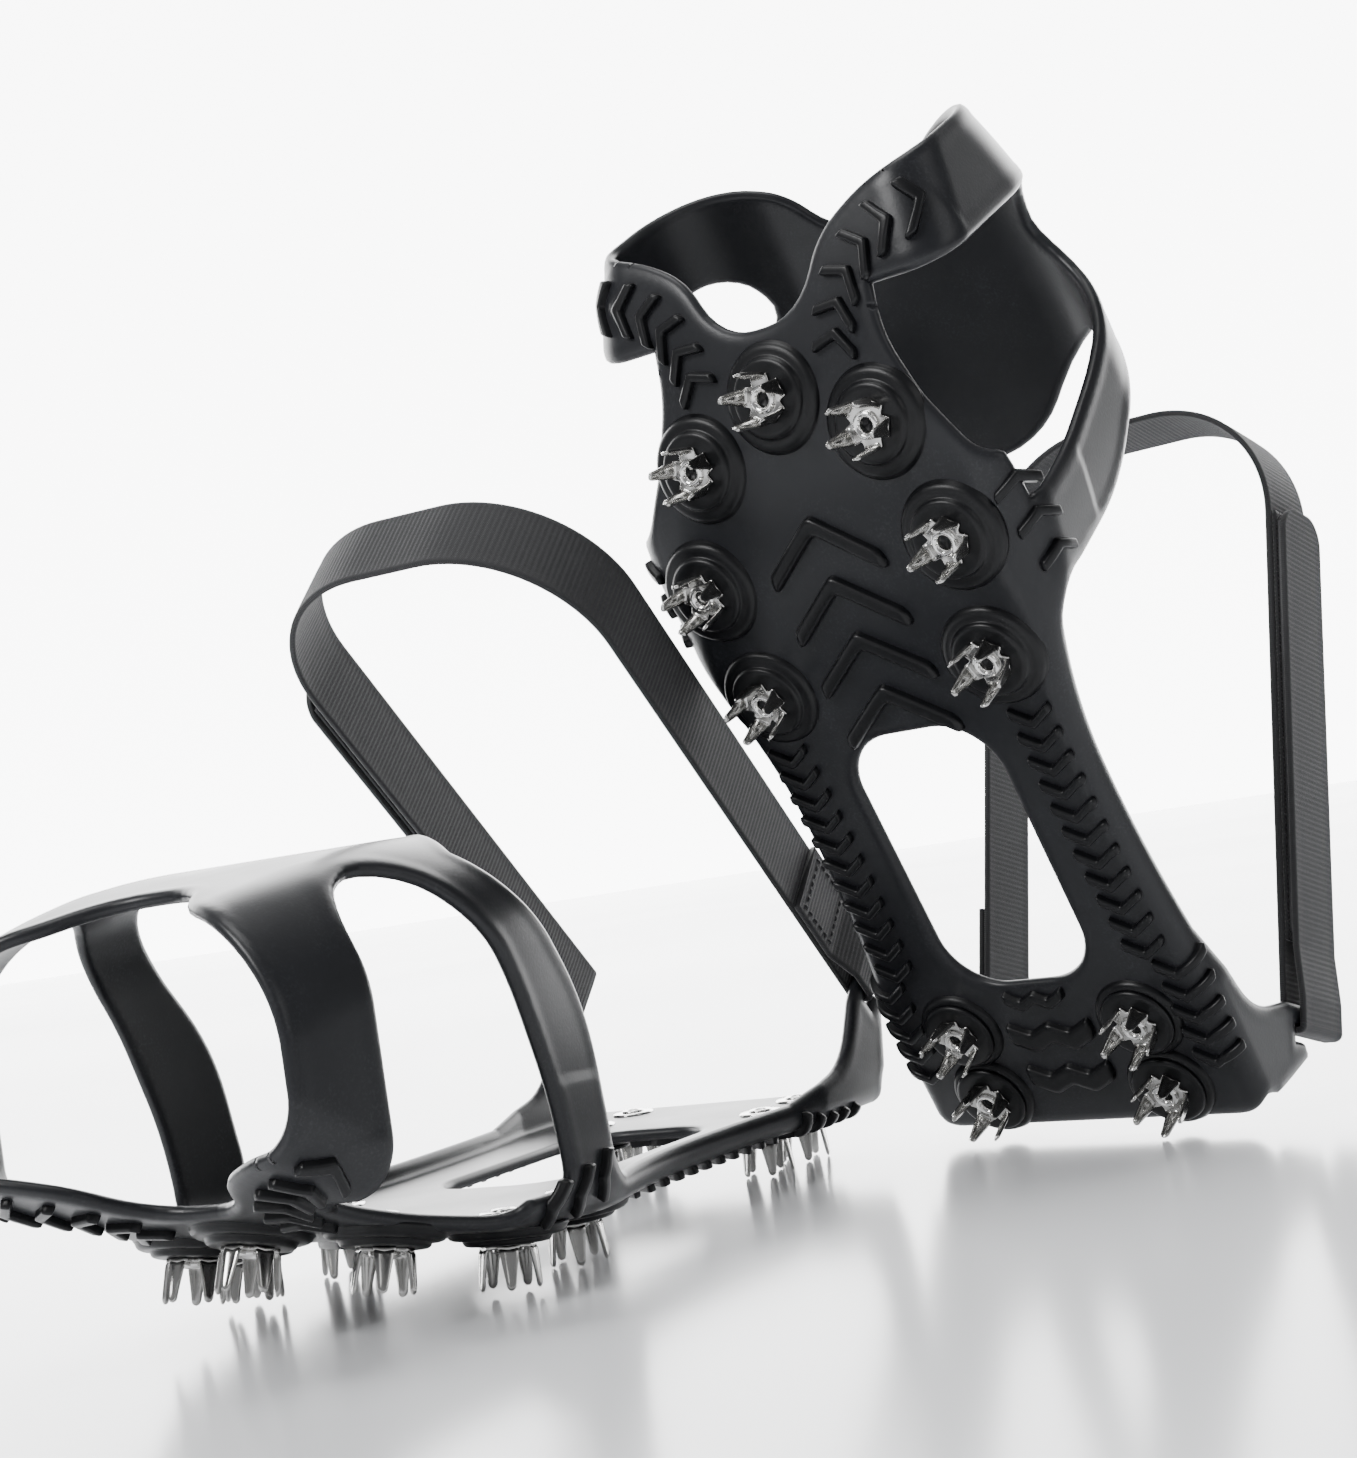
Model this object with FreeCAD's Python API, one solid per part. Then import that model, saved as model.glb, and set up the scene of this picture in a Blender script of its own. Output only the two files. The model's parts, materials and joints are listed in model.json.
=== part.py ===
import FreeCAD, Part
import math
import os

os.makedirs("parts", exist_ok=True)

V = FreeCAD.Vector

# Pair of stretch ice cleats in their worn shape, in mm.
# Each cleat is built in its own frame: X to the wearer's right, Y towards the
# toe, Z up, with the claw tips on z = 0.

# Claw plates and rivets
claw_count = 5
claw_drop = 8.2
claw_root_width = 3.7
claw_tip_width = 1.7
claw_splay = 7.0
star_thickness = 0.9
star_shoulder_radius = 5.9
star_notch_radius = 4.3
star_shoulder_angle = 22.0
rivet_radius = 2.0
rivet_bore_radius = 1.5
rivet_rim_radius = 3.0
rivet_rim_height = 0.8
rivet_head_height = 0.6
rivet_clearance = 0.05
washer_radius = 5.5
washer_thickness = 0.8
washer_clearance = 0.1
washer_sink = 0.2

# Rubber
rubber_thickness = 3.0
boss_height = 3.0
boss_radius = 12.5
heel_boss_radius = 11.0
boss_edge_radius = 1.2
lug_height = 1.8
flange_height = 4.0

# Sole
heel_rear = 36.0
heel_half_width = 47.0
heel_corner_radius = 8.0
waist_half_width = 42.0
waist_centre = 132.0
ball_start = 176.5
spring_radius = 167.0
hole_half_width = 20.0
hole_front = 151.0
hole_rear = 79.0
hole_corner_radius = 14.0

# Stud places: half spacing and distance forward of each row
stud_rows = [("centre", 0.0, 234.0),
             ("front", 24.7, 223.4),
             ("ball", 34.1, 195.8),
             ("arch", 31.3, 166.6),
             ("heel_front", 25.1, 66.4),
             ("heel_back", 25.1, 46.4)]

# Toe web, fitted round the front of the boot
toe_half_width = 54.0
toe_widest = 213.0
toe_taper_length = 115.0
web_top = 96.0
web_top_station = 205.0
web_top_fall = 450.0
bottom_corner_radius = 12.0
top_corner_radius = 26.0
web_step = 42.0
web_rear = 177.0
leg_front = 273.0
toe_notch = 248.0
saddle_rear = 181.0
window_front = 249.5

# Tread lugs
centre_lug_count = 5
centre_lug_pitch = 14.2
centre_lug_first = 222.0
centre_lug_half_width = 16.0
centre_lug_rise = 12.0
centre_lug_bar = 4.6
band_lug_count = 7
side_lug_rows = 3
waist_lug_count = 18
waist_lug_pitch = 6.4
heel_lug_count = 3

# Heel ears
ear_thickness = 3.0
ear_bar_depth = 5.3
ear_margin = 4.0
ear_centre_forward = 38.0
ear_centre_height = 50.0
ear_split = 33.0

# Strap
strap_width = 20.0
strap_thickness = 1.6
strap_rake = 45.0
strap_length = 161.0
strap_shoulder_radius = 34.0
strap_side_clearance = 0.5
strap_gap = 0.3
tail_gap = 0.1
tape_thickness = 1.0
flap_length = 128.0
sewn_tail = 32.0
stitch_radius = 0.35
stitch_pitch = 2.4

# Second cleat, stood on its heel edge and leant on the first one's strap
second_pitch = 61.0
second_yaw = -10.0
second_offset = -105.0
seat_gap = 0.3

# Values that follow from the ones above
star_top = claw_drop + star_thickness
sole_bottom = star_top + boss_height
sole_top = sole_bottom + rubber_thickness
washer_seat = rubber_thickness - washer_sink
ear_outer = heel_half_width
ear_inner = ear_outer - ear_thickness
slot_width = strap_width + 2 * strap_side_clearance
ear_length = slot_width + 2 * ear_margin
slot_height = strap_thickness + 2 * strap_gap + 1.5
layer_in = ear_inner - strap_gap - strap_thickness / 2
layer_out = ear_outer + strap_gap + strap_thickness / 2
fold_height = -ear_bar_depth - strap_gap - strap_thickness / 2
flap_lane = layer_in + strap_thickness + 2 * tape_thickness + strap_gap
tail_lane = layer_in + strap_thickness + tail_gap


def spring(y):
    """Height the sole has risen at a distance forward of the ball."""
    run = max(0.0, y - ball_start)
    return spring_radius - math.sqrt(spring_radius ** 2 - run ** 2)


def slope(y):
    """Slope angle of the sole, in degrees."""
    run = max(0.0, y - ball_start)
    return math.degrees(math.asin(run / spring_radius))


def half_width(y):
    """Outer half width of the toe web."""
    return toe_half_width * math.sqrt(1 - ((y - toe_widest) / toe_taper_length) ** 2)


def web_height(y):
    """Outer top of the toe web."""
    return web_top - (y - web_top_station) ** 2 / web_top_fall


def rounded_wire(corners):
    """Closed wire in the XY plane through corners (x, y, radius), rounded by arcs."""
    edges = []
    joins = []
    total = len(corners)
    for i in range(total):
        here = V(corners[i][0], corners[i][1], 0)
        back = V(corners[i - 1][0], corners[i - 1][1], 0) - here
        ahead = V(corners[(i + 1) % total][0], corners[(i + 1) % total][1], 0) - here
        radius = corners[i][2]
        if radius <= 0:
            joins.append((here, here, here))
            continue
        half = back.getAngle(ahead) / 2
        reach = radius / math.tan(half)
        start = here + V(back).normalize() * reach
        end = here + V(ahead).normalize() * reach
        inward = (V(back).normalize() + V(ahead).normalize()).normalize()
        middle = here + inward * (radius / math.sin(half) - radius)
        joins.append((start, middle, end))
    for i in range(total):
        start, middle, end = joins[i]
        if (end - start).Length > 1e-6:
            edges.append(Part.Arc(start, middle, end).toShape())
        following = joins[(i + 1) % total][0]
        if (following - end).Length > 1e-6:
            edges.append(Part.makeLine(end, following))
    return Part.Wire(edges)


def prism(corners, low, high):
    """Upright prism on a rounded outline."""
    face = Part.Face(rounded_wire(corners))
    solid = face.extrude(V(0, 0, high - low))
    solid.translate(V(0, 0, low))
    return solid


def side_prism(corners, near, far):
    """Prism along X on a rounded outline given as (forward, height, radius)."""
    solid = Part.Face(rounded_wire(corners)).extrude(V(0, 0, far - near))
    solid.rotate(V(0, 0, 0), V(1, 1, 1), 120)
    solid.translate(V(near, 0, 0))
    return solid


def mirrored(solid):
    """Copy on the other side of the cleat."""
    return solid.mirror(V(0, 0, 0), V(1, 0, 0))


def both_sides(solid):
    return [solid, mirrored(solid)]


def ribbon(points, thickness):
    """Face of constant thickness along a path of (x, y, bend radius)."""
    left = []
    right = []
    last = len(points) - 1
    for i in range(last + 1):
        here = V(points[i][0], points[i][1], 0)
        before = here - V(points[max(i - 1, 0)][0], points[max(i - 1, 0)][1], 0)
        after = V(points[min(i + 1, last)][0], points[min(i + 1, last)][1], 0) - here
        if i == 0:
            before = after
        if i == last:
            after = before
        before.normalize()
        after.normalize()
        normal = V(-before.y - after.y, before.x + after.x, 0)
        turn = before.x * after.y - before.y * after.x
        normal.normalize()
        reach = thickness / 2 / normal.dot(V(-before.y, before.x, 0))
        bend = points[i][2]
        inner = max(bend - thickness / 2, 0)
        outer = bend + thickness / 2 if bend > 0 else 0
        spot = here + normal * reach
        left.append((spot.x, spot.y, inner if turn > 0 else outer))
        spot = here - normal * reach
        right.append((spot.x, spot.y, outer if turn > 0 else inner))
    return Part.Face(rounded_wire(left + right[::-1]))


def strap_place(solid):
    """Move a solid from the strap's own plane to its raked place on the cleat."""
    solid.rotate(V(0, 0, 0), V(1, 0, 0), strap_rake)
    solid.translate(V(0, ear_centre_forward, ear_centre_height))
    return solid


def strap_slab(face, width):
    """Extrude a face in the strap's plane, centred across the webbing."""
    solid = face.extrude(V(0, 0, width))
    solid.translate(V(0, 0, -width / 2))
    return strap_place(solid)


def stud_place(solid, x, y):
    """Move a solid modelled round the origin, z = 0 at the sole's underside, to a stud."""
    solid.rotate(V(0, 0, 0), V(1, 0, 0), slope(y))
    solid.translate(V(x, y, sole_bottom + spring(y)))
    return solid


def stud_list():
    """Every stud's place, front to back and left to right."""
    places = []
    for name, spread, forward in stud_rows:
        if spread == 0:
            places.append((0.0, forward))
        else:
            places.append((-spread, forward))
            places.append((spread, forward))
    return places


def section(y, inset):
    """Cross-section wire of the toe web at a station, drawn in by an inset."""
    wide = half_width(y) - inset
    low = sole_bottom + spring(y) + inset
    high = web_height(y) - inset
    bottom = bottom_corner_radius - inset
    top = top_corner_radius - inset
    wire = rounded_wire([(-wide, low, bottom), (wide, low, bottom),
                         (wide, high, top), (-wide, high, top)])
    wire.rotate(V(0, 0, 0), V(1, 0, 0), 90)
    wire.translate(V(0, y, 0))
    return wire


def web_body(inset, first, last):
    stations = [first, 185.0, 205.0, 225.0, 245.0, 260.0, last]
    return Part.makeLoft([section(y, inset) for y in stations], True, False)


def chevron(x, y, half_span, rise, bar, turn, low, high):
    """Upright V bar with its point at (x, y); rise is negative when the arms run back."""
    outline = [(0, 0, 0), (half_span, rise, 0), (half_span, rise - bar, 0),
               (0, -bar, 0), (-half_span, rise - bar, 0), (-half_span, rise, 0)]
    solid = prism(outline, low, high)
    solid.rotate(V(0, 0, 0), V(0, 0, 1), turn)
    solid.translate(V(x, y, 0))
    return solid


def waist_edge(y):
    """Half width of the sole behind the ball."""
    rear = heel_half_width - waist_half_width
    if y < waist_centre:
        share = min((waist_centre - y) / 60.0, 1.0)
        return waist_half_width + rear * share ** 2
    return waist_half_width + 8.0 * ((y - waist_centre) / (ball_start - waist_centre)) ** 2


def sole_outline(inset):
    """Plan outline of the waist and heel, right side then left side."""
    stations = [ball_start + 6.0, 168.0, 152.0, 132.0, 108.0, 86.0]
    right = [(waist_edge(min(y, ball_start)) - inset, y, 18.0) for y in stations[1:]]
    start = (waist_edge(ball_start) - inset, stations[0], 0)
    corner = (heel_half_width - inset, heel_rear, heel_corner_radius - inset / 2)
    half = [start] + right + [corner]
    left = [(-x, y, r) for x, y, r in half[::-1]]
    return half + left


def build_forefoot():
    """Rubber round the front of the boot, before it is split at the step line."""
    shell = web_body(0, 165.0, leg_front + 2.5).cut(web_body(rubber_thickness, 163.0, leg_front + 3.5))
    wide = toe_half_width + 10
    tall = web_top + 10
    opening = [(-wide, leg_front, 0), (-34, leg_front - 3, 14), (-19, toe_notch + 14, 8),
               (-11, toe_notch, 12), (11, toe_notch, 12), (19, toe_notch + 14, 8),
               (34, leg_front - 3, 14), (wide, leg_front, 0), (wide, 310, 0), (-wide, 310, 0)]
    shell = shell.cut(prism(opening, -5, tall))
    window_side = [(window_front, -5, 0), (window_front, 84, 12), (229, 92, 16),
                   (210, 70, 20), (199.5, 40, 16), (197, 22, 6), (206, -5, 0)]
    window_plan = [(30.5, window_front + 20, 0), (31, 240, 8), (37, 226, 20), (46, 212, 12),
                   (wide, 202, 0), (wide, window_front + 20, 0)]
    window = side_prism(window_side, 20, wide).common(prism(window_plan, -5, tall))
    shoulder = [(wide, 196, 0), (wide, window_front + 20, 0), (44, window_front + 20, 0), (44, 196, 0)]
    upper_window = side_prism(window_side, 20, wide).common(prism(shoulder, 21, tall))
    for cutter in both_sides(window) + both_sides(upper_window):
        shell = shell.cut(cutter)
    rear_side = [(150, -5, 0), (web_rear, -5, 0), (web_rear, 30, 20), (181, 56, 20),
                 (196, 77, 20), (216, 100, 0), (216, 115, 0), (150, 115, 0)]
    rear_plan = [(-wide, 150, 0), (wide, 150, 0), (wide, 216, 0), (40, 211, 10),
                 (14, saddle_rear, 14), (-14, saddle_rear, 14), (-40, 211, 10), (-wide, 216, 0)]
    rear = side_prism(rear_side, -wide, wide).common(prism(rear_plan, -6, tall + 10))
    return shell.cut(rear)


def build_sole(forefoot):
    """Tread piece: forefoot plate, waist bands, heel plate and the feet of the ears."""
    plate = prism(sole_outline(0), sole_bottom, sole_top)
    rim = prism(sole_outline(0), sole_top, sole_top + flange_height)
    rim = rim.cut(prism(sole_outline(rubber_thickness), sole_top - 1, sole_top + flange_height + 1))
    keep = Part.makeBox(200, web_rear + 1.0 - heel_rear - 22, 40, V(-100, heel_rear + 22, 0))
    plate = plate.fuse(rim.common(keep))
    under_web = Part.makeBox(200, 20, 40, V(-100, web_rear, 0))
    plate = plate.cut(under_web.cut(web_body(0.3, 165.0, leg_front + 2.5)))
    low_web = forefoot.common(Part.makeBox(200, 200, web_step + 10, V(-100, 150, -10)))
    sole = low_web.fuse(plate)
    for ear in ear_shapes():
        sole = sole.fuse(ear.common(Part.makeBox(200, 120, ear_split, V(-100, 0, 0))))
    hole = [(hole_half_width, hole_front, hole_corner_radius),
            (-hole_half_width, hole_front, hole_corner_radius),
            (-hole_half_width, hole_rear, hole_corner_radius),
            (hole_half_width, hole_rear, hole_corner_radius)]
    sole = sole.cut(prism(hole, 0, 40))
    for x, y in stud_list():
        radius = heel_boss_radius if y < hole_rear else boss_radius
        boss = Part.makeCylinder(radius, boss_height + 2.0, V(0, 0, -boss_height))
        rim_edges = [e for e in boss.Edges if abs(e.BoundBox.ZMax + boss_height) < 0.01]
        boss = boss.makeFillet(boss_edge_radius, rim_edges)
        sole = sole.fuse(stud_place(boss, x, y))
    sole = sole.fuse(build_lugs())
    for x, y in stud_list():
        drill = Part.makeCylinder(rivet_radius + rivet_clearance, 20, V(0, 0, -10))
        seat = Part.makeCylinder(washer_radius + washer_clearance, 5, V(0, 0, washer_seat))
        sole = sole.cut(stud_place(drill.fuse(seat), x, y))
    return sole.removeSplitter()


def build_lugs():
    """Every raised tread bar of one sole."""
    skin = web_body(-lug_height, 165.0, leg_front).cut(web_body(0.6, 163.0, leg_front + 1))
    front = []
    for i in range(centre_lug_count):
        front.append(chevron(0, centre_lug_first - i * centre_lug_pitch, centre_lug_half_width,
                             -centre_lug_rise, centre_lug_bar, 0, 0, 30))
    for side in (-1, 1):
        for i in range(band_lug_count):
            share = i / (band_lug_count - 1)
            across = 25.5 + 12.5 * share ** 1.4
            forward = 236.0 + 27.0 * share
            front.append(chevron(side * across, forward, 5.5, -3.6, 2.4, -side * 24 * share, 0, 40))
        for row in range(side_lug_rows):
            front.append(chevron(side * 49.5, 205.0 - 9.0 * row, 4.5, -3.0, 2.6, 0, 0, 40))
    lugs = [skin.common(bar) for bar in front if bar.BoundBox.YMin > ball_start - 30]
    low = sole_bottom - lug_height
    high = sole_bottom + 0.6
    for side in (-1, 1):
        for i in range(waist_lug_count):
            y = 160.0 - i * waist_lug_pitch
            centre = (hole_half_width + waist_edge(y)) / 2 + 2.5
            if y < hole_rear:
                centre = heel_half_width - 6.5
            lugs.append(chevron(side * centre, y, 5.2, 3.4, -2.2, 0, low, high))
    for i in range(heel_lug_count):
        lugs.append(chevron(0, 71.0 - i * 12.0, 8.0, 5.0, -3.4, 0, low, high))
    flat = [bar for bar in lugs if bar.Volume > 0.5]
    return flat


def ear_shapes():
    """Both heel ears, whole, with their strap slots."""
    lean = math.radians(strap_rake)
    back = (ear_centre_forward - ear_length / 2 * math.sin(lean),
            ear_centre_height + ear_length / 2 * math.cos(lean))
    front = (ear_centre_forward + ear_length / 2 * math.sin(lean),
             ear_centre_height - ear_length / 2 * math.cos(lean))
    outline = [(heel_rear + 2, sole_bottom, 0), (heel_rear - 2, 28, 30), (back[0], back[1], 5),
               (front[0], front[1], 5), (57, 25, 20), (86, sole_top + flange_height, 0),
               (86, sole_bottom, 0)]
    ear = side_prism(outline, ear_inner, ear_outer)
    slot = prism([(-20, -ear_bar_depth - slot_height, 0), (20, -ear_bar_depth - slot_height, 0),
                  (20, -ear_bar_depth, 0), (-20, -ear_bar_depth, 0)],
                 -slot_width / 2, slot_width / 2)
    slot.translate(V(ear_outer, 0, 0))
    ear = ear.cut(strap_place(slot))
    return both_sides(ear)


def build_claw():
    """Stamped star plate with bent claws, its back face on z = 0 and claws pointing down."""
    edges = []
    step = 360.0 / claw_count
    spread = math.radians(star_shoulder_angle)
    for i in range(claw_count):
        at = math.radians(90 + i * step)
        after = at + math.radians(step)
        between = (at + after) / 2
        first = V(math.cos(at - spread), math.sin(at - spread), 0) * star_shoulder_radius
        second = V(math.cos(at + spread), math.sin(at + spread), 0) * star_shoulder_radius
        third = V(math.cos(after - spread), math.sin(after - spread), 0) * star_shoulder_radius
        notch = V(math.cos(between), math.sin(between), 0) * star_notch_radius
        edges.append(Part.makeLine(first, second))
        edges.append(Part.Arc(second, notch, third).toShape())
    star = Part.Face(Part.Wire(edges)).extrude(V(0, 0, -star_thickness))
    reach = star_shoulder_radius * math.cos(spread)
    root = claw_root_width / 2
    tip = claw_tip_width / 2
    length = star_thickness + claw_drop
    blade = [(-root, 0, 0), (-tip, -length, tip * 0.9), (tip, -length, tip * 0.9), (root, 0, 0)]
    claw = Part.Face(rounded_wire(blade)).extrude(V(0, 0, star_thickness))
    claw.rotate(V(0, 0, 0), V(1, 0, 0), 90)
    claw.translate(V(0, reach, 0))
    claw.rotate(V(0, reach, 0), V(1, 0, 0), claw_splay)
    claw = claw.common(Part.makeBox(40, 40, length, V(-20, -20, -length)))
    for i in range(claw_count):
        blade_copy = claw.copy()
        blade_copy.rotate(V(0, 0, 0), V(0, 0, 1), i * step)
        star = star.fuse(blade_copy)
    star = star.cut(Part.makeCylinder(rivet_radius + rivet_clearance, 20, V(0, 0, -10)))
    return star.removeSplitter()


def build_rivet():
    """Tubular rivet: rolled rim under the star, shank, and head on the washer."""
    low = -boss_height - star_thickness
    high = washer_seat + washer_thickness
    rim = Part.makeCylinder(rivet_rim_radius, rivet_rim_height, V(0, 0, low - rivet_rim_height))
    lip = [e for e in rim.Edges if abs(e.BoundBox.ZMax - (low - rivet_rim_height)) < 0.01]
    rim = rim.makeFillet(rivet_rim_height * 0.45, lip)
    shank = Part.makeCylinder(rivet_radius, high - low + rivet_rim_height, V(0, 0, low - rivet_rim_height))
    head = Part.makeCylinder(rivet_rim_radius, rivet_head_height, V(0, 0, high))
    rivet = rim.fuse(shank).fuse(head)
    bore = Part.makeCylinder(rivet_bore_radius, 30, V(0, 0, -15))
    return rivet.cut(bore).removeSplitter()


def build_washer():
    ring = Part.makeCylinder(washer_radius, washer_thickness, V(0, 0, washer_seat))
    return ring.cut(Part.makeCylinder(rivet_radius + rivet_clearance, 20, V(0, 0, -5)))


def build_strap(side):
    """Webbing arch; the sewn tail is on the side away from the flap."""
    shoulder = strap_shoulder_radius
    path = [(-side * tail_lane, sewn_tail, 0), (-side * tail_lane, 12.0, 4.0),
            (-side * layer_out, 3.0, 4.0), (-side * layer_out, fold_height, 1.6),
            (-side * layer_in, fold_height, 1.6), (-side * layer_in, strap_length, shoulder),
            (side * layer_in, strap_length, shoulder), (side * layer_in, fold_height, 1.6),
            (side * (layer_out - 1.2), fold_height, 0)]
    return strap_slab(ribbon(path, strap_thickness), strap_width)


def build_flap(side):
    """Folded-back outer layer of the webbing, free at its upper end."""
    path = [(side * layer_out, fold_height + 1.2, 0), (side * layer_out, 2.0, 6.0),
            (side * flap_lane, 14.0, 6.0), (side * flap_lane, flap_length, 0)]
    return strap_slab(ribbon(path, strap_thickness), strap_width)


def build_hook_tape(side):
    lane = flap_lane - strap_thickness / 2 - tape_thickness / 2
    path = [(side * lane, 18.0, 0), (side * lane, flap_length - 4.0, 0)]
    return strap_slab(ribbon(path, tape_thickness), strap_width - 2.0)


def build_loop_tape(side):
    lane = layer_in + strap_thickness / 2 + tape_thickness / 2
    straight = strap_length - strap_shoulder_radius
    path = [(side * lane, 16.0, 0), (side * lane, straight, 0)]
    return strap_slab(ribbon(path, tape_thickness), strap_width - 2.0)


def build_stitching(side):
    """Box of stitches through the sewn tail, and two rows at each end of the flap's hook tape."""
    stitches = []
    outer = tail_lane + strap_thickness / 2
    low = 15.0
    high = sewn_tail - 3.0
    half = strap_width / 2 - 2.5
    rows = int((high - low) / stitch_pitch)
    across = int(2 * half / stitch_pitch)
    for i in range(rows + 1):
        for edge in (-half, half):
            stitches.append((outer, low + i * (high - low) / rows, edge, 1))
    for i in range(1, across):
        for level in (low, high):
            stitches.append((outer, level, -half + i * 2 * half / across, 0))
    solids = []
    for x, s, w, along in stitches:
        bead = Part.makeCylinder(stitch_radius, stitch_pitch * 0.7, V(0, 0, -stitch_pitch * 0.35))
        if along:
            bead.rotate(V(0, 0, 0), V(1, 0, 0), 90)
        bead.translate(V(-side * (x + stitch_radius * 0.98), s, w))
        solids.append(strap_place(bead))
    return Part.makeCompound(solids)


def build_base():
    """Rubber, claw plates, rivets and washers of a cleat, the same for either foot."""
    forefoot = build_forefoot()
    pieces = {}
    pieces["outsole"] = build_sole(forefoot)
    pieces["toe_web"] = forefoot.common(Part.makeBox(200, 200, 100, V(-100, 150, web_step)))
    ears = ear_shapes()
    for name, ear in (("ear_right", ears[0]), ("ear_left", ears[1])):
        pieces[name] = ear.common(Part.makeBox(200, 120, 60, V(-100, 0, ear_split)))
    claw = build_claw()
    rivets = []
    washers = []
    for i, (x, y) in enumerate(stud_list()):
        plate = claw.copy()
        plate.rotate(V(0, 0, 0), V(0, 0, 1), 36 * (i % 2))
        plate.translate(V(0, 0, -boss_height))
        pieces["claw_%02d" % (i + 1)] = stud_place(plate, x, y)
        rivets.append(stud_place(build_rivet(), x, y))
        washers.append(stud_place(build_washer(), x, y))
    pieces["rivets"] = Part.makeCompound(rivets)
    pieces["washers"] = Part.makeCompound(washers)
    return pieces


def build_cleat(base, side):
    """Every piece of one cleat in its own frame; side is the foot's outer side."""
    pieces = {name: shape.copy() for name, shape in base.items()}
    pieces["ear_outer"] = pieces.pop("ear_right" if side > 0 else "ear_left")
    pieces["ear_inner"] = pieces.pop("ear_left" if side > 0 else "ear_right")
    pieces["strap"] = build_strap(side)
    pieces["loop_tape"] = build_loop_tape(side)
    pieces["tail_stitching"] = build_stitching(side)
    pieces["flap"] = build_flap(side)
    pieces["hook_tape"] = build_hook_tape(side)
    return pieces


def second_place(forward, drop):
    """Placement of the second cleat at a distance forward and a height."""
    tilt = FreeCAD.Rotation(V(1, 0, 0), second_pitch)
    turn = FreeCAD.Rotation(V(0, 0, 1), second_yaw)
    return FreeCAD.Placement(V(second_offset, forward, drop), turn.multiply(tilt))


def placed(shape, placement):
    copy = shape.copy()
    copy.Placement = placement.multiply(copy.Placement)
    return copy


def extent(shapes):
    """Box round a list of shapes, from points meshed on their surfaces."""
    box = FreeCAD.BoundBox()
    for shape in shapes:
        for point in shape.tessellate(0.05)[0]:
            box.add(point)
    return box


base = build_base()
first = build_cleat(base, 1)
second = build_cleat(base, -1)

# Lower the second cleat until its lowest edge meets the floor, then move it
# forward until its sole stands a seat gap off the first cleat's strap.
lowest = extent([placed(shape, second_place(0, 0)) for shape in second.values()]).ZMin
forward = 0.0
for attempt in range(30):
    moved = placed(second["outsole"], second_place(forward, -lowest))
    gap = moved.distToShape(first["strap"])[0]
    if gap < seat_gap + 0.01:
        break
    forward += (gap - seat_gap) * 0.98
lean = second_place(forward, -lowest)

# The finished frame faces the toes towards -Y, with the pair's box centred on Z.
turned = FreeCAD.Placement(V(0, 0, 0), FreeCAD.Rotation(V(0, 0, 1), 180))
pair = {}
for name, shape in first.items():
    pair["right_" + name] = placed(shape, turned)
for name, shape in second.items():
    pair["left_" + name] = placed(shape, turned.multiply(lean))
box = extent(pair.values())
centre = FreeCAD.Placement(V(-box.Center.x, -box.Center.y, 0), FreeCAD.Rotation())
for name, shape in pair.items():
    placed(shape, centre).exportStep("parts/%s.step" % name)
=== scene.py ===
import json
import math

import bpy
import numpy as np
from mathutils import Matrix, Vector


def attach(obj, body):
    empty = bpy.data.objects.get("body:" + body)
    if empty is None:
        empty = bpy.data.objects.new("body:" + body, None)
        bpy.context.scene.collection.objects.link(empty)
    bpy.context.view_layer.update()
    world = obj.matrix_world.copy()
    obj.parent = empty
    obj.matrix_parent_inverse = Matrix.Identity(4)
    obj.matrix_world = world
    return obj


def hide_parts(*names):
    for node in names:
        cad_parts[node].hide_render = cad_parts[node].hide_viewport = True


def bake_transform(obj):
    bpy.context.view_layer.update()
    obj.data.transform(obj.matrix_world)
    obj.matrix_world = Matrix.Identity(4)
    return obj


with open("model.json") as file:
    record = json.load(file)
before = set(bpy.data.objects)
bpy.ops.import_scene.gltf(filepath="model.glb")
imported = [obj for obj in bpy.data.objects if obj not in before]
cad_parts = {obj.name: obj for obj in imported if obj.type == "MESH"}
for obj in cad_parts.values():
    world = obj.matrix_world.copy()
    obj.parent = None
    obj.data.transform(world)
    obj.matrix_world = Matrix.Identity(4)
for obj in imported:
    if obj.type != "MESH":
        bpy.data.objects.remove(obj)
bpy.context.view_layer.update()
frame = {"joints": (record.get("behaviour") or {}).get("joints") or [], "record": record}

bl_info = {
    "name": "Ice Cleats",
    "version": (1, 0, 0),
    "blender": (4, 5, 0),
    "location": "View3D > Sidebar > Ice Cleats",
    "description": "Builds the rubber, steel and webbing of a pair of ice cleats round their CAD frame",
    "category": "Object",
}

MM = 0.001
UV_SCALE = 0.01

# The cleat's own frame, in mm: X right, Y to the toe, Z up, claw tips on z = 0.
# The rubber web: wall, sole, toe spring, waist, heel and the foot of the harness.
RUBBER = 3.0
SOLE_BOTTOM = 12.1
BALL_START = 176.5
SPRING_RADIUS = 167.0
HEEL_REAR = 36.0
HEEL_HALF = 47.0
HEEL_CORNER = 8.0
HEEL_RELIEF = 14.0
WAIST_HALF = 42.0
WAIST_Y = 132.0
TOE_HALF = 54.0
TOE_WIDEST = 213.0
TOE_REACH = 115.0
FLANGE_TOP = 19.1
STEP_HEIGHT = 42.0
WEB_TOP = 96.0
CROWN_RADIUS = 26.0
WEB_ROWS = (21.0, 281.0)
LONGEST_HALF = 173.0
FAR = 99.0

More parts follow.
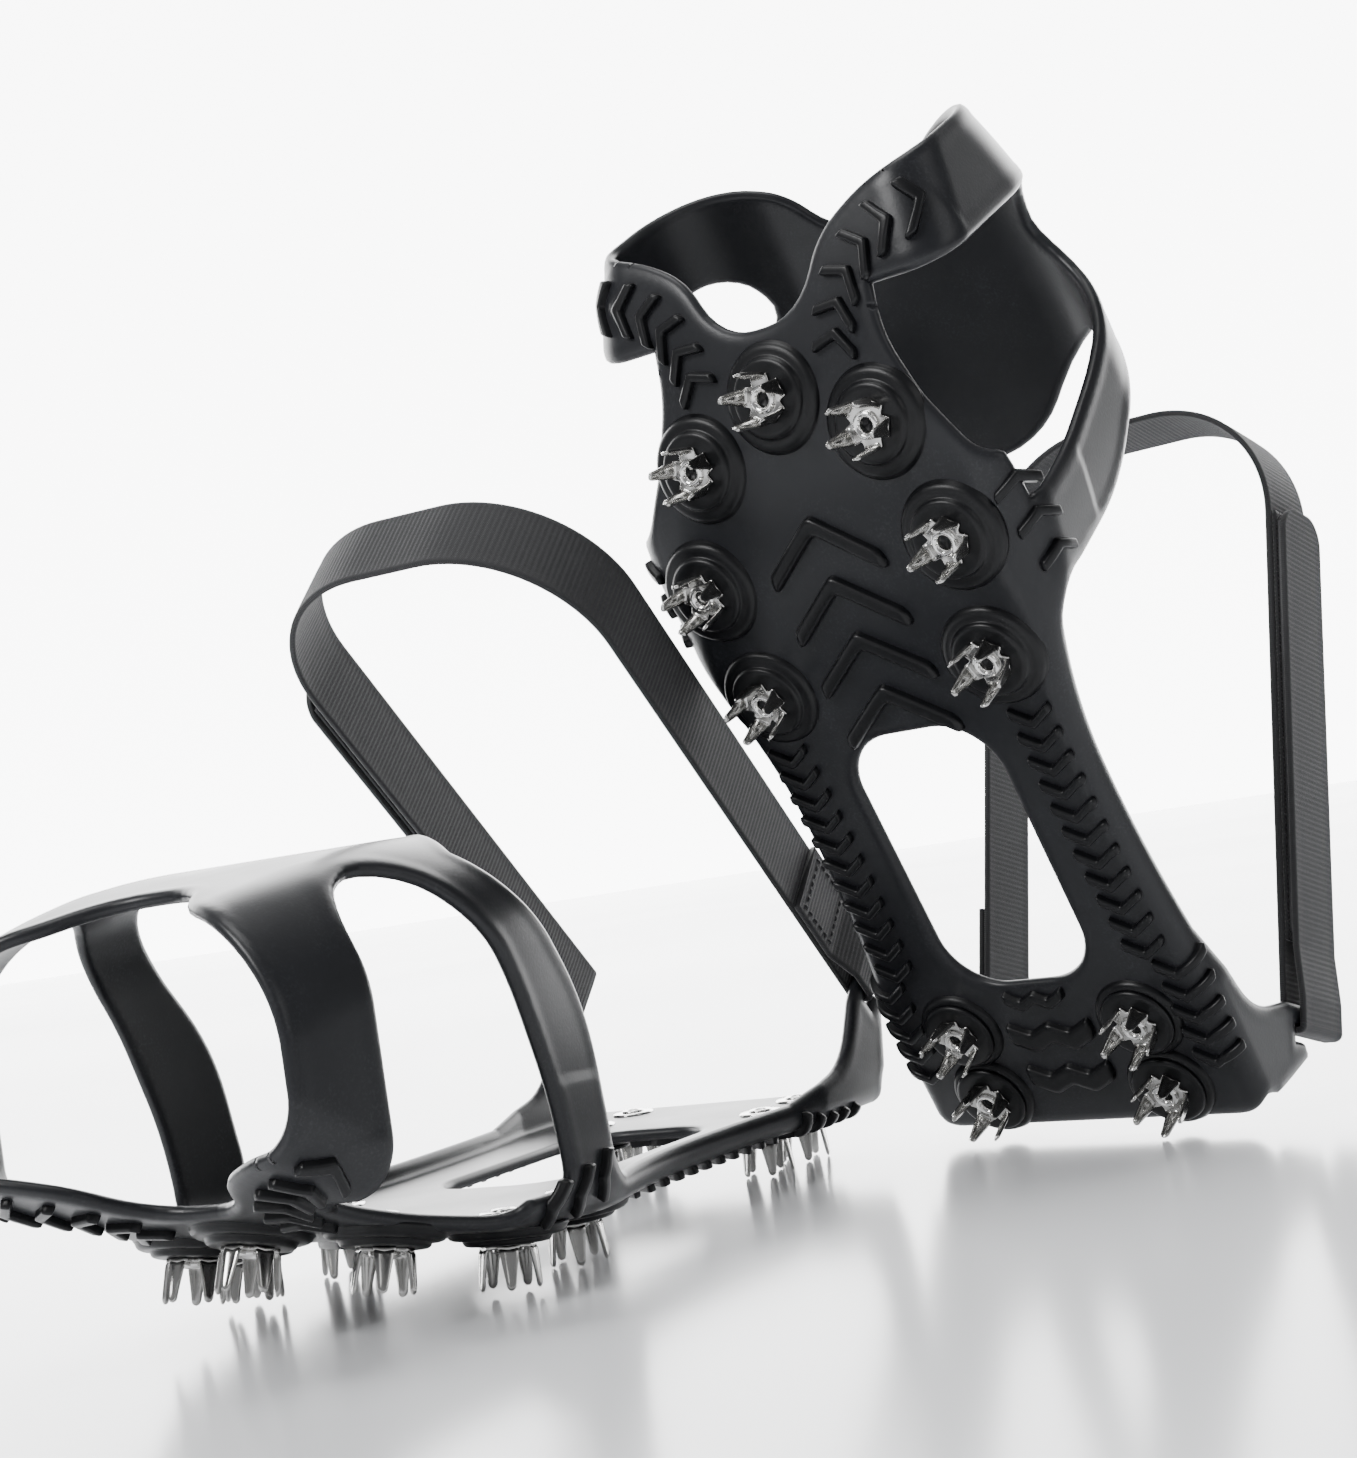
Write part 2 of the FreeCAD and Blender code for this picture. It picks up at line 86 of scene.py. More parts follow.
# Where the outline's openings and ears reach: how far in and down each side window comes, the part of
# the width the ears take, the midfoot hole (its middle, half sizes of its core, corner radius and the
# height it stays under), and the ears' slots with the place they stay behind.
WINDOW_INNER = 20.0
WINDOW_SHOULDER = (44.0, 21.0)
EAR_INNER = 40.0
HOLE_MIDDLE = 115.0
HOLE_CORE = (6.0, 22.0)
HOLE_CORNER = 14.0
HOLE_UNDER = 30.0
SLOT_ALONG = -7.15
SLOT_HALF = (1.85, 10.5)
SLOT_BEHIND = 90.0

# The studs: the middle one, then right and left pairs from the toe back.
STUDS = [(0.0, 234.0), (24.7, 223.4), (34.1, 195.8), (31.3, 166.6), (25.1, 66.4), (25.1, 46.4)]
STUD_ROOM = 15.5
BOSS_HEIGHT = 3.0
STAR_THICK = 0.9
RIVET_BORE = 1.5
RIVET_SHANK = 2.0
WASHER_SUNK = 0.2
WASHER_THICK = 0.8

# The strap's own plane: its rake and its origin on the ears, the lanes its layers run in,
# the height of its fold, and the boot seat's middle.
STRAP_RAKE = 45.0
EAR_CENTRE = (38.0, 50.0)
EAR_WIDE = 29.0
LAYER_IN = 42.9
LAYER_OUT = 48.1
FOLD = -6.4
TAIL_LANE = 44.6
FLAP_LANE = 46.8
FLAP_LENGTH = 128.0
STRAP_LENGTH = 161.0
STRAP_THICK = 1.6
TAPE_THICK = 1.0
TAPE_RISE = (STRAP_THICK + TAPE_THICK) / 2
RIB_PITCH = 1.35
GOLDEN_ANGLE = 2.39996
SEAT_FORWARD = 163.0
SEAT_HEIGHT = 15.1


# ---------------------------------------------------------------- placement

def cleat_axes(side):
    """Columns X, Y, Z and origin of one cleat, read from its boot seat and its flap's hinge."""
    seat = next(m for m in frame["record"]["mounts"] if m["name"] == side + "_boot_seat")
    hinge = next(j for j in frame["joints"] if j["name"] == side + "_flap_peel")
    up = np.array(seat["axis"], float)
    across = np.array(hinge["axis"], float) * (-1 if side == "right" else 1)
    forward = up - math.sqrt(2.0) * across
    forward /= np.linalg.norm(forward)
    axes = np.stack([np.cross(forward, up), forward, up], axis=1)
    origin = np.array(seat["pos_m"]) / MM - axes @ np.array([0.0, SEAT_FORWARD, SEAT_HEIGHT])
    return axes, origin


# Which way along X is outward on each cleat, and where each cleat stands.
SIDES = {"right": 1, "left": -1}
PLACES = {side: cleat_axes(side) for side in SIDES}


def to_frame(points, side):
    """Points of a cleat's own frame, in mm, taken to the shared frame, in metres."""
    axes, origin = PLACES[side]
    return (points @ axes.T + origin) * MM


def strap_to_cleat(x, s, w):
    """The strap's own plane (x, along, across) turned by its rake on to the ears."""
    lean = math.radians(STRAP_RAKE)
    y = s * math.cos(lean) - w * math.sin(lean) + EAR_CENTRE[0]
    z = s * math.sin(lean) + w * math.cos(lean) + EAR_CENTRE[1]
    return np.stack([x, y, z], axis=-1)


def stud_points():
    """Every stud's place: the middle one, and then both sides of each row."""
    return [(side * x, y) for x, y in STUDS for side in ((1,) if x == 0 else (-1, 1))]


def stud_to_cleat(points, x, y):
    """Points round a stud's own axis, z = 0 on the sole's underside, set on the sprung sole."""
    turn = math.asin(max(0.0, y - BALL_START) / SPRING_RADIUS)
    c, s = math.cos(turn), math.sin(turn)
    px, py, pz = points[..., 0], points[..., 1], points[..., 2]
    return np.stack([px + x, py * c - pz * s + y, py * s + pz * c + SOLE_BOTTOM + spring(y)], axis=-1)


# ---------------------------------------------------------------- meshes

def add_mesh(name, points, faces, material, uv=None, smooth=True):
    """Mesh object from points in metres and a list of face arrays, each of one corner count."""
    mesh = bpy.data.meshes.new(name)
    loops = np.concatenate([f.ravel() for f in faces]).astype(np.int32)
    sizes = np.concatenate([np.full(len(f), f.shape[1]) for f in faces])
    starts = np.concatenate([[0], np.cumsum(sizes)[:-1]]).astype(np.int32)
    mesh.vertices.add(len(points))
    mesh.vertices.foreach_set("co", np.ascontiguousarray(points, np.float32).ravel())
    mesh.loops.add(len(loops))
    mesh.loops.foreach_set("vertex_index", loops)
    mesh.polygons.add(len(sizes))
    mesh.polygons.foreach_set("loop_start", starts)
    mesh.polygons.foreach_set("use_smooth", np.full(len(sizes), smooth))
    mesh.update(calc_edges=True)
    if uv is not None:
        layer = mesh.uv_layers.new(name="surface")
        layer.data.foreach_set("uv", np.ascontiguousarray(uv[loops], np.float32).ravel())
    mesh.validate()
    mesh.materials.append(material)
    piece = bpy.data.objects.new(name, mesh)
    bpy.context.scene.collection.objects.link(piece)
    return piece


def grid_faces(rows, cols, wrap=False):
    """Quads of a grid of rows by cols points, its columns closed into a ring if wrap."""
    r = np.arange(rows - 1)[:, None]
    c = np.arange(cols if wrap else cols - 1)[None, :]
    d = (c + 1) % cols
    quad = np.stack([r * cols + c, r * cols + d, (r + 1) * cols + d, (r + 1) * cols + c], axis=-1)
    return quad.reshape(-1, 4)


def closed_grid(rows, cols):
    """Quads of a grid whose rows and columns are both closed into rings."""
    r = np.arange(rows)[:, None]
    c = np.arange(cols)[None, :]
    nr, nc = (r + 1) % rows, (c + 1) % cols
    return np.stack([r * cols + c, r * cols + nc, nr * cols + nc, nr * cols + c], axis=-1).reshape(-1, 4)


def tube_faces(rows, cols):
    """A ring grid whose two end rings are closed by one face each."""
    ends = [np.arange(cols)[None, ::-1], np.arange(cols)[None, :] + (rows - 1) * cols]
    return [grid_faces(rows, cols, True)] + ends


def gather(parts):
    """Several (points, faces, uv) shapes as one, their faces grouped by corner count."""
    points, uvs, faces, first = [], [], {}, 0
    for p, fs, uv in parts:
        points.append(p)
        uvs.append(uv)
        for f in fs:
            faces.setdefault(f.shape[1], []).append(f + first)
        first += len(p)
    return np.concatenate(points), [np.concatenate(f) for f in faces.values()], np.concatenate(uvs)


def outward(points, faces):
    """Faces turned over if the closed shape they make holds a negative volume."""
    total = 0.0
    for f in faces:
        p = points[f]
        for k in range(1, f.shape[1] - 1):
            total += np.einsum("ij,ij->i", p[:, 0], np.cross(p[:, k], p[:, k + 1])).sum()
    return faces if total > 0 else [f[:, ::-1] for f in faces]


# ---------------------------------------------------------------- rubber web

def smooth_step(x, low, high):
    """0 below low, 1 above high, and the cubic 3t^2 - 2t^3 between."""
    t = np.clip((x - low) / (high - low), 0, 1)
    return t * t * (3 - 2 * t)


def spring(y):
    """Toe spring: how far a circle of SPRING_RADIUS has risen past the ball."""
    run = np.maximum(0.0, y - BALL_START)
    return SPRING_RADIUS - np.sqrt(SPRING_RADIUS ** 2 - run ** 2)


def waist_edge(y):
    """Half width behind the ball: two parabolas that meet at the waist."""
    rear = (HEEL_HALF - WAIST_HALF) * np.clip((WAIST_Y - y) / 60.0, 0, 1) ** 2
    ahead = 8.0 * (np.clip(y - WAIST_Y, 0, None) / (BALL_START - WAIST_Y)) ** 2
    return WAIST_HALF + rear + ahead


def outer_half(y):
    """Half width all along: the waist's parabolas blended into the toe web's ellipse."""
    toe = TOE_HALF * np.sqrt(np.clip(1 - ((y - TOE_WIDEST) / TOE_REACH) ** 2, 0.05, 1))
    share = smooth_step(y, 168.0, 184.0)
    return waist_edge(y) * (1 - share) + toe * share


def section_sizes(y):
    """Mid-wall half width, low, flat, bottom bend, side, top bend and top runs of the section at y."""
    half = RUBBER / 2
    bend = 4.5 + 7.5 * smooth_step(y, 166.0, 186.0) - half
    crown = CROWN_RADIUS - half
    wide = outer_half(y) - half
    low = SOLE_BOTTOM + spring(y) + half
    high = WEB_TOP - np.clip(y - 205.0, -38.0, 80.0) ** 2 / 450.0 - half
    side = np.clip(high - low - bend - crown, 0.5, None)
    return wide, low, wide - bend, bend, side, crown, wide - crown


def section_length(y):
    """Half the way round the section at y: its flat, bend, side, crown and top added up."""
    wide, low, flat, bend, side, crown, top = section_sizes(y)
    return flat + bend * math.pi / 2 + side + crown * math.pi / 2 + top


def web_point(u, y):
    """Mid-wall point at arc length u from the sole's centre line, in the section at y.
    The run goes flat, round the bottom bend, up the side, round the crown and back to the middle."""
    wide, low, flat, bend, side, crown, top = section_sizes(y)
    run = np.abs(u)
    first = np.clip(run, 0, flat)
    turn = np.clip(run - flat, 0, bend * math.pi / 2) / bend
    run = run - flat - bend * math.pi / 2
    rise = np.clip(run, 0, side)
    over = np.clip(run - side, 0, crown * math.pi / 2) / crown
    back = np.clip(run - side - crown * math.pi / 2, 0, top)
    x = first + bend * np.sin(turn) - crown * (1 - np.cos(over)) - back
    z = low + bend * (1 - np.cos(turn)) + rise + crown * np.sin(over)
    return np.stack([np.sign(u) * x, y, z], axis=-1)


def web_tangents(u, y):
    """Central differences of web_point along u and y, and the outward unit normal."""
    d = 0.05
    along_u = (web_point(u + d, y) - web_point(u - d, y)) / (2 * d)
    along_y = (web_point(u, y + d) - web_point(u, y - d)) / (2 * d)
    normal = np.cross(along_y, along_u)
    normal /= np.linalg.norm(normal, axis=-1, keepdims=True)
    return along_u, along_y, normal


def on_web(u, y, lift):
    """Point standing lift off the rubber's outer face at (u, y)."""
    return web_point(u, y) + web_tangents(u, y)[2] * (RUBBER / 2 + lift)[..., None]


def corner_arc(before, here, after, radius, steps):
    """Points of the arc of that radius that turns the corner at here between its two neighbours."""
    here = np.array(here, float)
    back = np.array(before, float) - here
    ahead = np.array(after, float) - here
    back /= np.linalg.norm(back)
    ahead /= np.linalg.norm(ahead)
    half = math.acos(np.clip(back @ ahead, -1, 1)) / 2
    centre = here + (back + ahead) / np.linalg.norm(back + ahead) * radius / math.sin(half)
    start = here + back * radius / math.tan(half) - centre
    end = here + ahead * radius / math.tan(half) - centre
    first = math.atan2(start[1], start[0])
    sweep = (math.atan2(end[1], end[0]) - first + math.pi) % (2 * math.pi) - math.pi
    angle = first + sweep * np.arange(steps + 1) / steps
    return centre + radius * np.stack([np.cos(angle), np.sin(angle)], axis=1)


def rounded_outline(corners, steps=6):
    """Closed outline through (a, b, radius) corners, each turned by an arc of that radius."""
    points = []
    for before, here, after in zip(corners[-1:] + corners[:-1], corners, corners[1:] + corners[:1]):
        if here[2] > 0:
            points += list(corner_arc(before[:2], here[:2], after[:2], here[2], steps))
        else:
            points.append(np.array(here[:2], float))
    return np.array(points)


def outline_distance(a, b, outline):
    """Distance from (a, b) to a closed outline, negative inside it."""
    best = np.full(np.shape(a), 1e9)
    inside = np.zeros(np.shape(a), bool)
    for (ax, ay), (bx, by) in zip(outline, np.roll(outline, -1, axis=0)):
        ex, ey = bx - ax, by - ay
        length = ex * ex + ey * ey
        if length < 1e-9:
            continue
        t = np.clip(((a - ax) * ex + (b - ay) * ey) / length, 0, 1)
        best = np.minimum(best, (a - ax - t * ex) ** 2 + (b - ay - t * ey) ** 2)
        crosses = ((ay > b) != (by > b)) & (a < ex * (b - ay) / (ey if ey else 1e-9) + ax)
        inside ^= crosses
    return np.where(inside, -1, 1) * np.sqrt(best)


def ear_outline():
    """Side outline of an ear: a stem that widens to a head set square to the raked strap."""
    lean = math.radians(STRAP_RAKE)
    reach = EAR_WIDE / 2
    back = (EAR_CENTRE[0] - reach * math.sin(lean), EAR_CENTRE[1] + reach * math.cos(lean))
    front = (EAR_CENTRE[0] + reach * math.sin(lean), EAR_CENTRE[1] - reach * math.cos(lean))
    return [(38, 10, 0), (34, 28, 30), (*back, 5), (*front, 5), (57, 25, 20),
            (86, FLANGE_TOP, 0), (86, 10, 0)]


TOE_MOUTH = rounded_outline([(-64, 273, 0), (-34, 270, 48), (-19, 262, 20), (-11, 248, 16), (11, 248, 16),
                             (19, 262, 20), (34, 270, 48), (64, 273, 0), (64, 330, 0), (-64, 330, 0)])
WINDOW_SIDE = rounded_outline([(249.5, -5, 0), (249.5, 84, 12), (229, 92, 16), (210, 70, 70),
                               (199.5, 40, 80), (197, 22, 28), (206, -5, 0)])
WINDOW_PLAN = rounded_outline([(30.5, 269.5, 0), (31, 240, 28), (37, 226, 30), (46, 212, 14),
                               (64, 202, 0), (64, 269.5, 0)])
REAR_SIDE = rounded_outline([(-40, FLANGE_TOP, 0), (177, FLANGE_TOP, 9), (177, 30, 24), (181, 56, 50),
                             (196, 77, 100), (216, 100, 0), (216, 160, 0), (-40, 160, 0)])
REAR_PLAN = rounded_outline([(-70, -40, 0), (70, -40, 0), (70, 216, 0), (40, 211, 60), (14, 181, 30),
                             (-14, 181, 30), (-40, 211, 60), (-70, 216, 0)])
EAR_SIDE = rounded_outline(ear_outline())


def web_edge(p):
    """How far a mid-wall point is inside the rubber's outline: the least of the distances to the toe
    mouth, the side windows, the rear of the harness and ears, the heel, the midfoot hole and the slots."""
    x, y, z = np.abs(p[..., 0]), p[..., 1], p[..., 2]
    mouth = outline_distance(x, y, TOE_MOUTH)
    shoulder = np.maximum(WINDOW_SHOULDER[0] - x, WINDOW_SHOULDER[1] - z)
    plan = np.minimum(outline_distance(x, y, WINDOW_PLAN), shoulder)
    window = np.maximum(np.maximum(outline_distance(y, z, WINDOW_SIDE), plan), WINDOW_INNER - x)
    ear = np.where(x > EAR_INNER, -outline_distance(y, z, EAR_SIDE), -FAR)
    rear = np.maximum(np.maximum(outline_distance(y, z, REAR_SIDE), outline_distance(x, y, REAR_PLAN)), ear)
    past = np.clip(x - HEEL_HALF + HEEL_CORNER, 0, HEEL_CORNER)
    corner = HEEL_CORNER - np.sqrt(HEEL_CORNER ** 2 - past ** 2)
    heel = y - HEEL_REAR - corner * (1 - smooth_step(z, 13, 34)) + HEEL_RELIEF * smooth_step(z, 14, 40)
    hx, hy = x - HOLE_CORE[0], np.abs(y - HOLE_MIDDLE) - HOLE_CORE[1]
    hole = np.hypot(np.maximum(hx, 0), np.maximum(hy, 0)) + np.minimum(np.maximum(hx, hy), 0) - HOLE_CORNER
    hole = np.where(z < HOLE_UNDER, hole, FAR)
    lean = math.radians(STRAP_RAKE)
    s = (y - EAR_CENTRE[0]) * math.cos(lean) + (z - EAR_CENTRE[1]) * math.sin(lean)
    w = -(y - EAR_CENTRE[0]) * math.sin(lean) + (z - EAR_CENTRE[1]) * math.cos(lean)
    slot = np.maximum(np.abs(s - SLOT_ALONG) - SLOT_HALF[0], np.abs(w) - SLOT_HALF[1])
    slot = np.where((x > EAR_INNER) & (y < SLOT_BEHIND), slot, FAR)
    return np.minimum.reduce([mouth, window, rear, heel, hole, slot])


def snap_to_edge(u, y, level, rounds=5):
    """Newton steps in (u, y) that bring points on to web_edge = level."""
    d = 0.05
    for _ in range(rounds):
        value = web_edge(web_point(u, y)) - level
        fu = (web_edge(web_point(u + d, y)) - web_edge(web_point(u - d, y))) / (2 * d)
        fy = (web_edge(web_point(u, y + d)) - web_edge(web_point(u, y - d))) / (2 * d)
        size = np.maximum(fu * fu + fy * fy, 0.15)
        u = u - np.clip(value * fu / size, -1.5, 1.5)
        y = y - np.clip(value * fy / size, -1.5, 1.5)
    return u, y


def edge_outward(u, y):
    """Unit direction in the wall that leads out of the rubber at an edge point, found from the slopes of
    web_edge along u and y and the wall's own metric, and the wall's normal there."""
    pu, py, normal = web_tangents(u, y)
    d = 0.2
    fu = (web_edge(web_point(u + d, y)) - web_edge(web_point(u - d, y))) / (2 * d)
    fy = (web_edge(web_point(u, y + d)) - web_edge(web_point(u, y - d))) / (2 * d)
    guu, guy, gyy = (pu * pu).sum(-1), (pu * py).sum(-1), (py * py).sum(-1)
    det = guu * gyy - guy ** 2
    a = (gyy * fu - guy * fy) / det
    b = (guu * fy - guy * fu) / det
    out = -(a[:, None] * pu + b[:, None] * py)
    return out / np.maximum(np.linalg.norm(out, axis=-1, keepdims=True), 1e-9), normal


def rubber_shell(pitch):
    """The whole moulded web as one closed wall: a grid over (u, y) trimmed to the outline, its edge
    points moved on to it, both faces offset by half the wall and joined by half-round rims. The outer
    face has a bell-shaped bead along its edges and is a little thicker below STEP_HEIGHT."""
    rows = np.arange(*WEB_ROWS, pitch)
    count = int(2 * LONGEST_HALF / pitch)
    share = -1 + 2 * (np.arange(count) + 0.5) / count
    y = np.repeat(rows[:, None], count, axis=1)
    u = share[None, :] * section_length(y)
    value = web_edge(web_point(u, y)) - RUBBER / 2
    inside = value > 0.35 * pitch
    quads = grid_faces(len(rows), count, True)
    kept = quads[inside.ravel()[quads].any(axis=1)]
    used = np.unique(kept)
    index = np.full(y.size, -1)
    index[used] = np.arange(len(used))
    kept = index[kept]
    u, y = u.ravel()[used], y.ravel()[used]
    loose = ~inside.ravel()[used]
    u[loose], y[loose] = snap_to_edge(u[loose], y[loose], RUBBER / 2)
    middle = web_point(u, y)
    normal = web_tangents(u, y)[2]
    depth = web_edge(middle)
    bead = 0.21 * np.exp(-((depth - 2.2) / 1.3) ** 2)
    step = 0.28 * (1 - smooth_step(middle[:, 2], STEP_HEIGHT - 0.35, STEP_HEIGHT + 0.35))
    wall = RUBBER / 2 - 0.15 + step * np.clip((depth - 1.5) / 2, 0, 1) + bead
    outer = middle + normal * wall[:, None]
    inner = middle - normal * (RUBBER / 2)
    edges = np.concatenate([kept[:, [0, 1]], kept[:, [1, 2]], kept[:, [2, 3]], kept[:, [3, 0]]])
    keys = np.sort(edges, axis=1)
    keys = keys[:, 0] * len(u) + keys[:, 1]
    _, first, times = np.unique(keys, return_index=True, return_counts=True)
    border = edges[first[times == 1]]
    rim = np.unique(border)
    place = np.full(len(u), -1)
    place[rim] = np.arange(len(rim))
    out, rim_normal = edge_outward(u[rim], y[rim])
    half = (wall[rim] + RUBBER / 2)[:, None] / 2
    centre = middle[rim] + rim_normal * (wall[rim] - RUBBER / 2)[:, None] / 2
    rings = [centre + half * (math.cos(a) * out + math.sin(a) * rim_normal)
             for a in np.radians([54, 18, -18, -54])]
    n, m = len(u), len(rim)
    points = np.concatenate([outer, inner] + rings)
    levels = [border] + [place[border] + 2 * n + k * m for k in range(4)] + [border + n]
    faces = [kept, kept[:, ::-1] + n]
    for a, b in zip(levels[:-1], levels[1:]):
        faces.append(np.stack([a[:, 1], a[:, 0], b[:, 0], b[:, 1]], axis=1))
    faces = [np.concatenate(faces)]
    return points, outward(points, faces), points[:, :2] * UV_SCALE


def lug_shape(x, y, half_span, rise, bar, turn, height, folds=1):
    """One raised V bar, or W bar with two folds: y = rise * |s| along s, folded at its middle, a rounded
    ridge across it, and blunt rounded ends."""
    s = np.concatenate([-1 + 0.1 * (1 - np.cos(np.linspace(0, math.pi / 2, 6)[:-1])),
                        np.linspace(-0.9, 0.9, 33),
                        1 - 0.1 * (1 - np.cos(np.linspace(math.pi / 2, 0, 6)[1:]))])
    end = np.sqrt(np.clip(1 - (np.clip(np.abs(s) - 0.9, 0, 0.1) / 0.1) ** 2, 0.0, 1))
    along = np.sqrt(s ** 2 + 0.002)
    if folds == 2:
        along = np.sqrt((2 * along - 0.9) ** 2 + 0.008)
    t = np.array([-1.2, -1.02, -0.92, -0.78, -0.4, 0.4, 0.78, 0.92, 1.02, 1.2, 0.6, -0.6])
    z = np.array([-0.3, 0.08, 0.62, 0.94, 1.0, 1.0, 0.94, 0.62, 0.08, -0.3, -0.35, -0.35])
    s2, t2 = np.meshgrid(s, t, indexing="ij")
    scale = end[:, None]
    bar_x = half_span * s2
    bar_y = rise * along[:, None] - bar / 2 + t2 * abs(bar) / 2 * np.maximum(scale, 0.02)
    lift = height * np.where(z > 0, z * np.maximum(scale, 0.02), z)
    c, w = math.cos(math.radians(turn)), math.sin(math.radians(turn))
    u = x + bar_x * c - bar_y * w
    v = y + bar_x * w + bar_y * c
    points = on_web(u, v, lift).reshape(-1, 3)
    faces = tube_faces(len(s), len(t))
    return points, outward(points, faces), np.stack([u.ravel(), v.ravel()], axis=1) * UV_SCALE


def lug_list():
    """(u, y, half span, rise, bar, turn) of every V bar: five down the ball, a row up each harness leg,
    three on each side below the rear legs, and a row down each side of the waist and heel."""
    lugs = [(0, 222.0 - 14.2 * i, 16.0, -12.0, 4.6, 0) for i in range(5)]
    leg = np.array([[19.5, 238.0], [21.0, 243.5], [23.5, 249.0], [27.5, 254.0], [33.0, 257.8], [39.5, 260.2],
                    [46.5, 261.4]])
    heading = np.degrees(np.arctan2(*np.gradient(leg, axis=0).T))
    for side in (-1, 1):
        lugs += [(side * u, y, 5.6, -3.8, 2.5, -side * turn) for (u, y), turn in zip(leg, heading)]
        lugs += [(side * (51.0 + 1.5 * i), 205.0 - 9.0 * i, 5.0, -3.0, 2.6, 0) for i in range(3)]
        for i in range(18):
            y = 160.0 - i * 6.4
            x = (20 + float(waist_edge(np.array(y)))) / 2 + 2.5 if y >= 79 else HEEL_HALF - 6.5
            lugs.append((side * x, y, 5.4, 3.6, -2.6, 0))
    return lugs


def heel_bars(height):
    """One narrow and two broad W bars across the heel."""
    bars = [(71.5, 8.5, 2.6, -3.2), (58.8, 12.0, 3.2, -6.0), (46.0, 12.0, 3.2, -6.0)]
    return [lug_shape(0, y, half_span, rise, bar, 0, height, folds=2) for y, half_span, rise, bar in bars]


def clear_of_studs(x, y):
    """Whether a place on the tread leaves every stud its room."""
    return all(math.hypot(x - a, y - b) > STUD_ROOM for a, b in stud_points())


def stud_ring(profile, steps, x, y):
    """A closed (radius, height) profile spun about one stud's axis."""
    angle = np.arange(steps) * 2 * math.pi / steps
    r, z = np.array(profile, float).T
    points = np.stack([r[:, None] * np.cos(angle), r[:, None] * np.sin(angle),
                       np.repeat(z[:, None], steps, axis=1)], axis=-1)
    points = stud_to_cleat(points, x, y).reshape(-1, 3)
    return points, outward(points, [closed_grid(len(r), steps)]), points[:, :2] * UV_SCALE


BOSS_PROFILE = [(0.02, 1.0), (0.02, -2.95), (4.0, -3.0), (7.5, -3.0), (8.1, -2.97), (8.6, -2.86),
                (8.95, -2.64), (9.15, -2.34), (9.27, -2.0), (9.42, -1.78), (9.75, -1.66), (10.5, -1.62),
                (11.2, -1.52), (11.8, -1.25), (12.2, -0.85), (12.42, -0.42), (12.6, -0.05),
                (12.95, 0.3), (12.9, 0.9)]


def boss_shape(x, y):
    """Round boss under one stud: a dome with a soft shoulder and a raised seat for the star, drawn in a
    little at the heel, where the studs stand closer."""
    draw = 0.88 if y < 80 else 1.0
    profile = [(r * draw if r > 9.4 else r, z) for r, z in BOSS_PROFILE]
    return stud_ring(profile, 56, x, y)


# ---------------------------------------------------------------- steel

def claw_path(steps):
    """Mid-line of a claw as run, radius, height and slope: flat out from the hub, round the bend, and
    down to its tip, with the total run."""
    bend, angle, hub, flat_end = 1.35, math.radians(83.5), 2.05, 4.0
    flat = flat_end - hub
    arc = bend * angle
    drop = (8.65 - bend * (1 - math.cos(angle))) / math.sin(angle)
    s = np.concatenate([np.linspace(0, flat, 9)[:-1], flat + np.linspace(0, arc, 7)[:-1],
                        flat + arc + drop * np.sin(np.linspace(0, math.pi / 2, steps))])
    slope = np.clip(s - flat, 0, arc) / bend
    run = np.clip(s - flat - arc, 0, None)
    radius = hub + np.clip(s, 0, flat) + bend * np.sin(slope) + run * math.cos(angle)
    height = -bend * (1 - np.cos(slope)) - run * math.sin(angle)
    return s, radius, height, slope, flat + arc + drop


def claw_shape(turn):
    """One bent claw, rooted inside the plate: a bar along claw_path that narrows to a rounded tip and is
    creased along its middle."""
    s, radius, height, slope, total = claw_path(12)
    width = np.interp(s, [0, 1.5, 2.6, 4.2, total - 2.5, total], [1.3, 1.75, 2.05, 1.95, 1.2, 0.88])
    left = np.clip(total - s, 0, 1.0)
    tip = np.sqrt(np.clip(1 - (1 - left) ** 2, 0.0004, 1))
    width = width * tip
    across = np.array([-1, -0.9, -0.45, 0, 0.45, 0.9, 1, 1, 0.9, 0.45, 0, -0.45, -0.9, -1])
    thick = np.array([0.5, 0.95, 1, 1, 1, 0.95, 0.5, -0.5, -0.95, -1, -1, -1, -0.95, -0.5]) * STAR_THICK / 2
    fade = np.clip((s - 2.0) / 1.5, 0, 1) * np.clip((total - s) / 2.0, 0, 1)
    crease = 0.34 * (0.5 - np.abs(across))[None, :] * fade[:, None]
    depth = thick[None, :] * np.maximum(tip, 0.3)[:, None] * 0.96 - crease
    px = across[None, :] * width[:, None]
    py = radius[:, None] + depth * np.sin(slope)[:, None]
    pz = height[:, None] + depth * np.cos(slope)[:, None]
    a = math.radians(turn)
    points = np.stack([px * math.cos(a) - py * math.sin(a), px * math.sin(a) + py * math.cos(a),
                       pz - BOSS_HEIGHT - STAR_THICK / 2], axis=-1)
    uv = np.stack([np.repeat(s[:, None], len(across), 1), px], axis=-1) * UV_SCALE
    return points, tube_faces(len(s), len(across)), uv


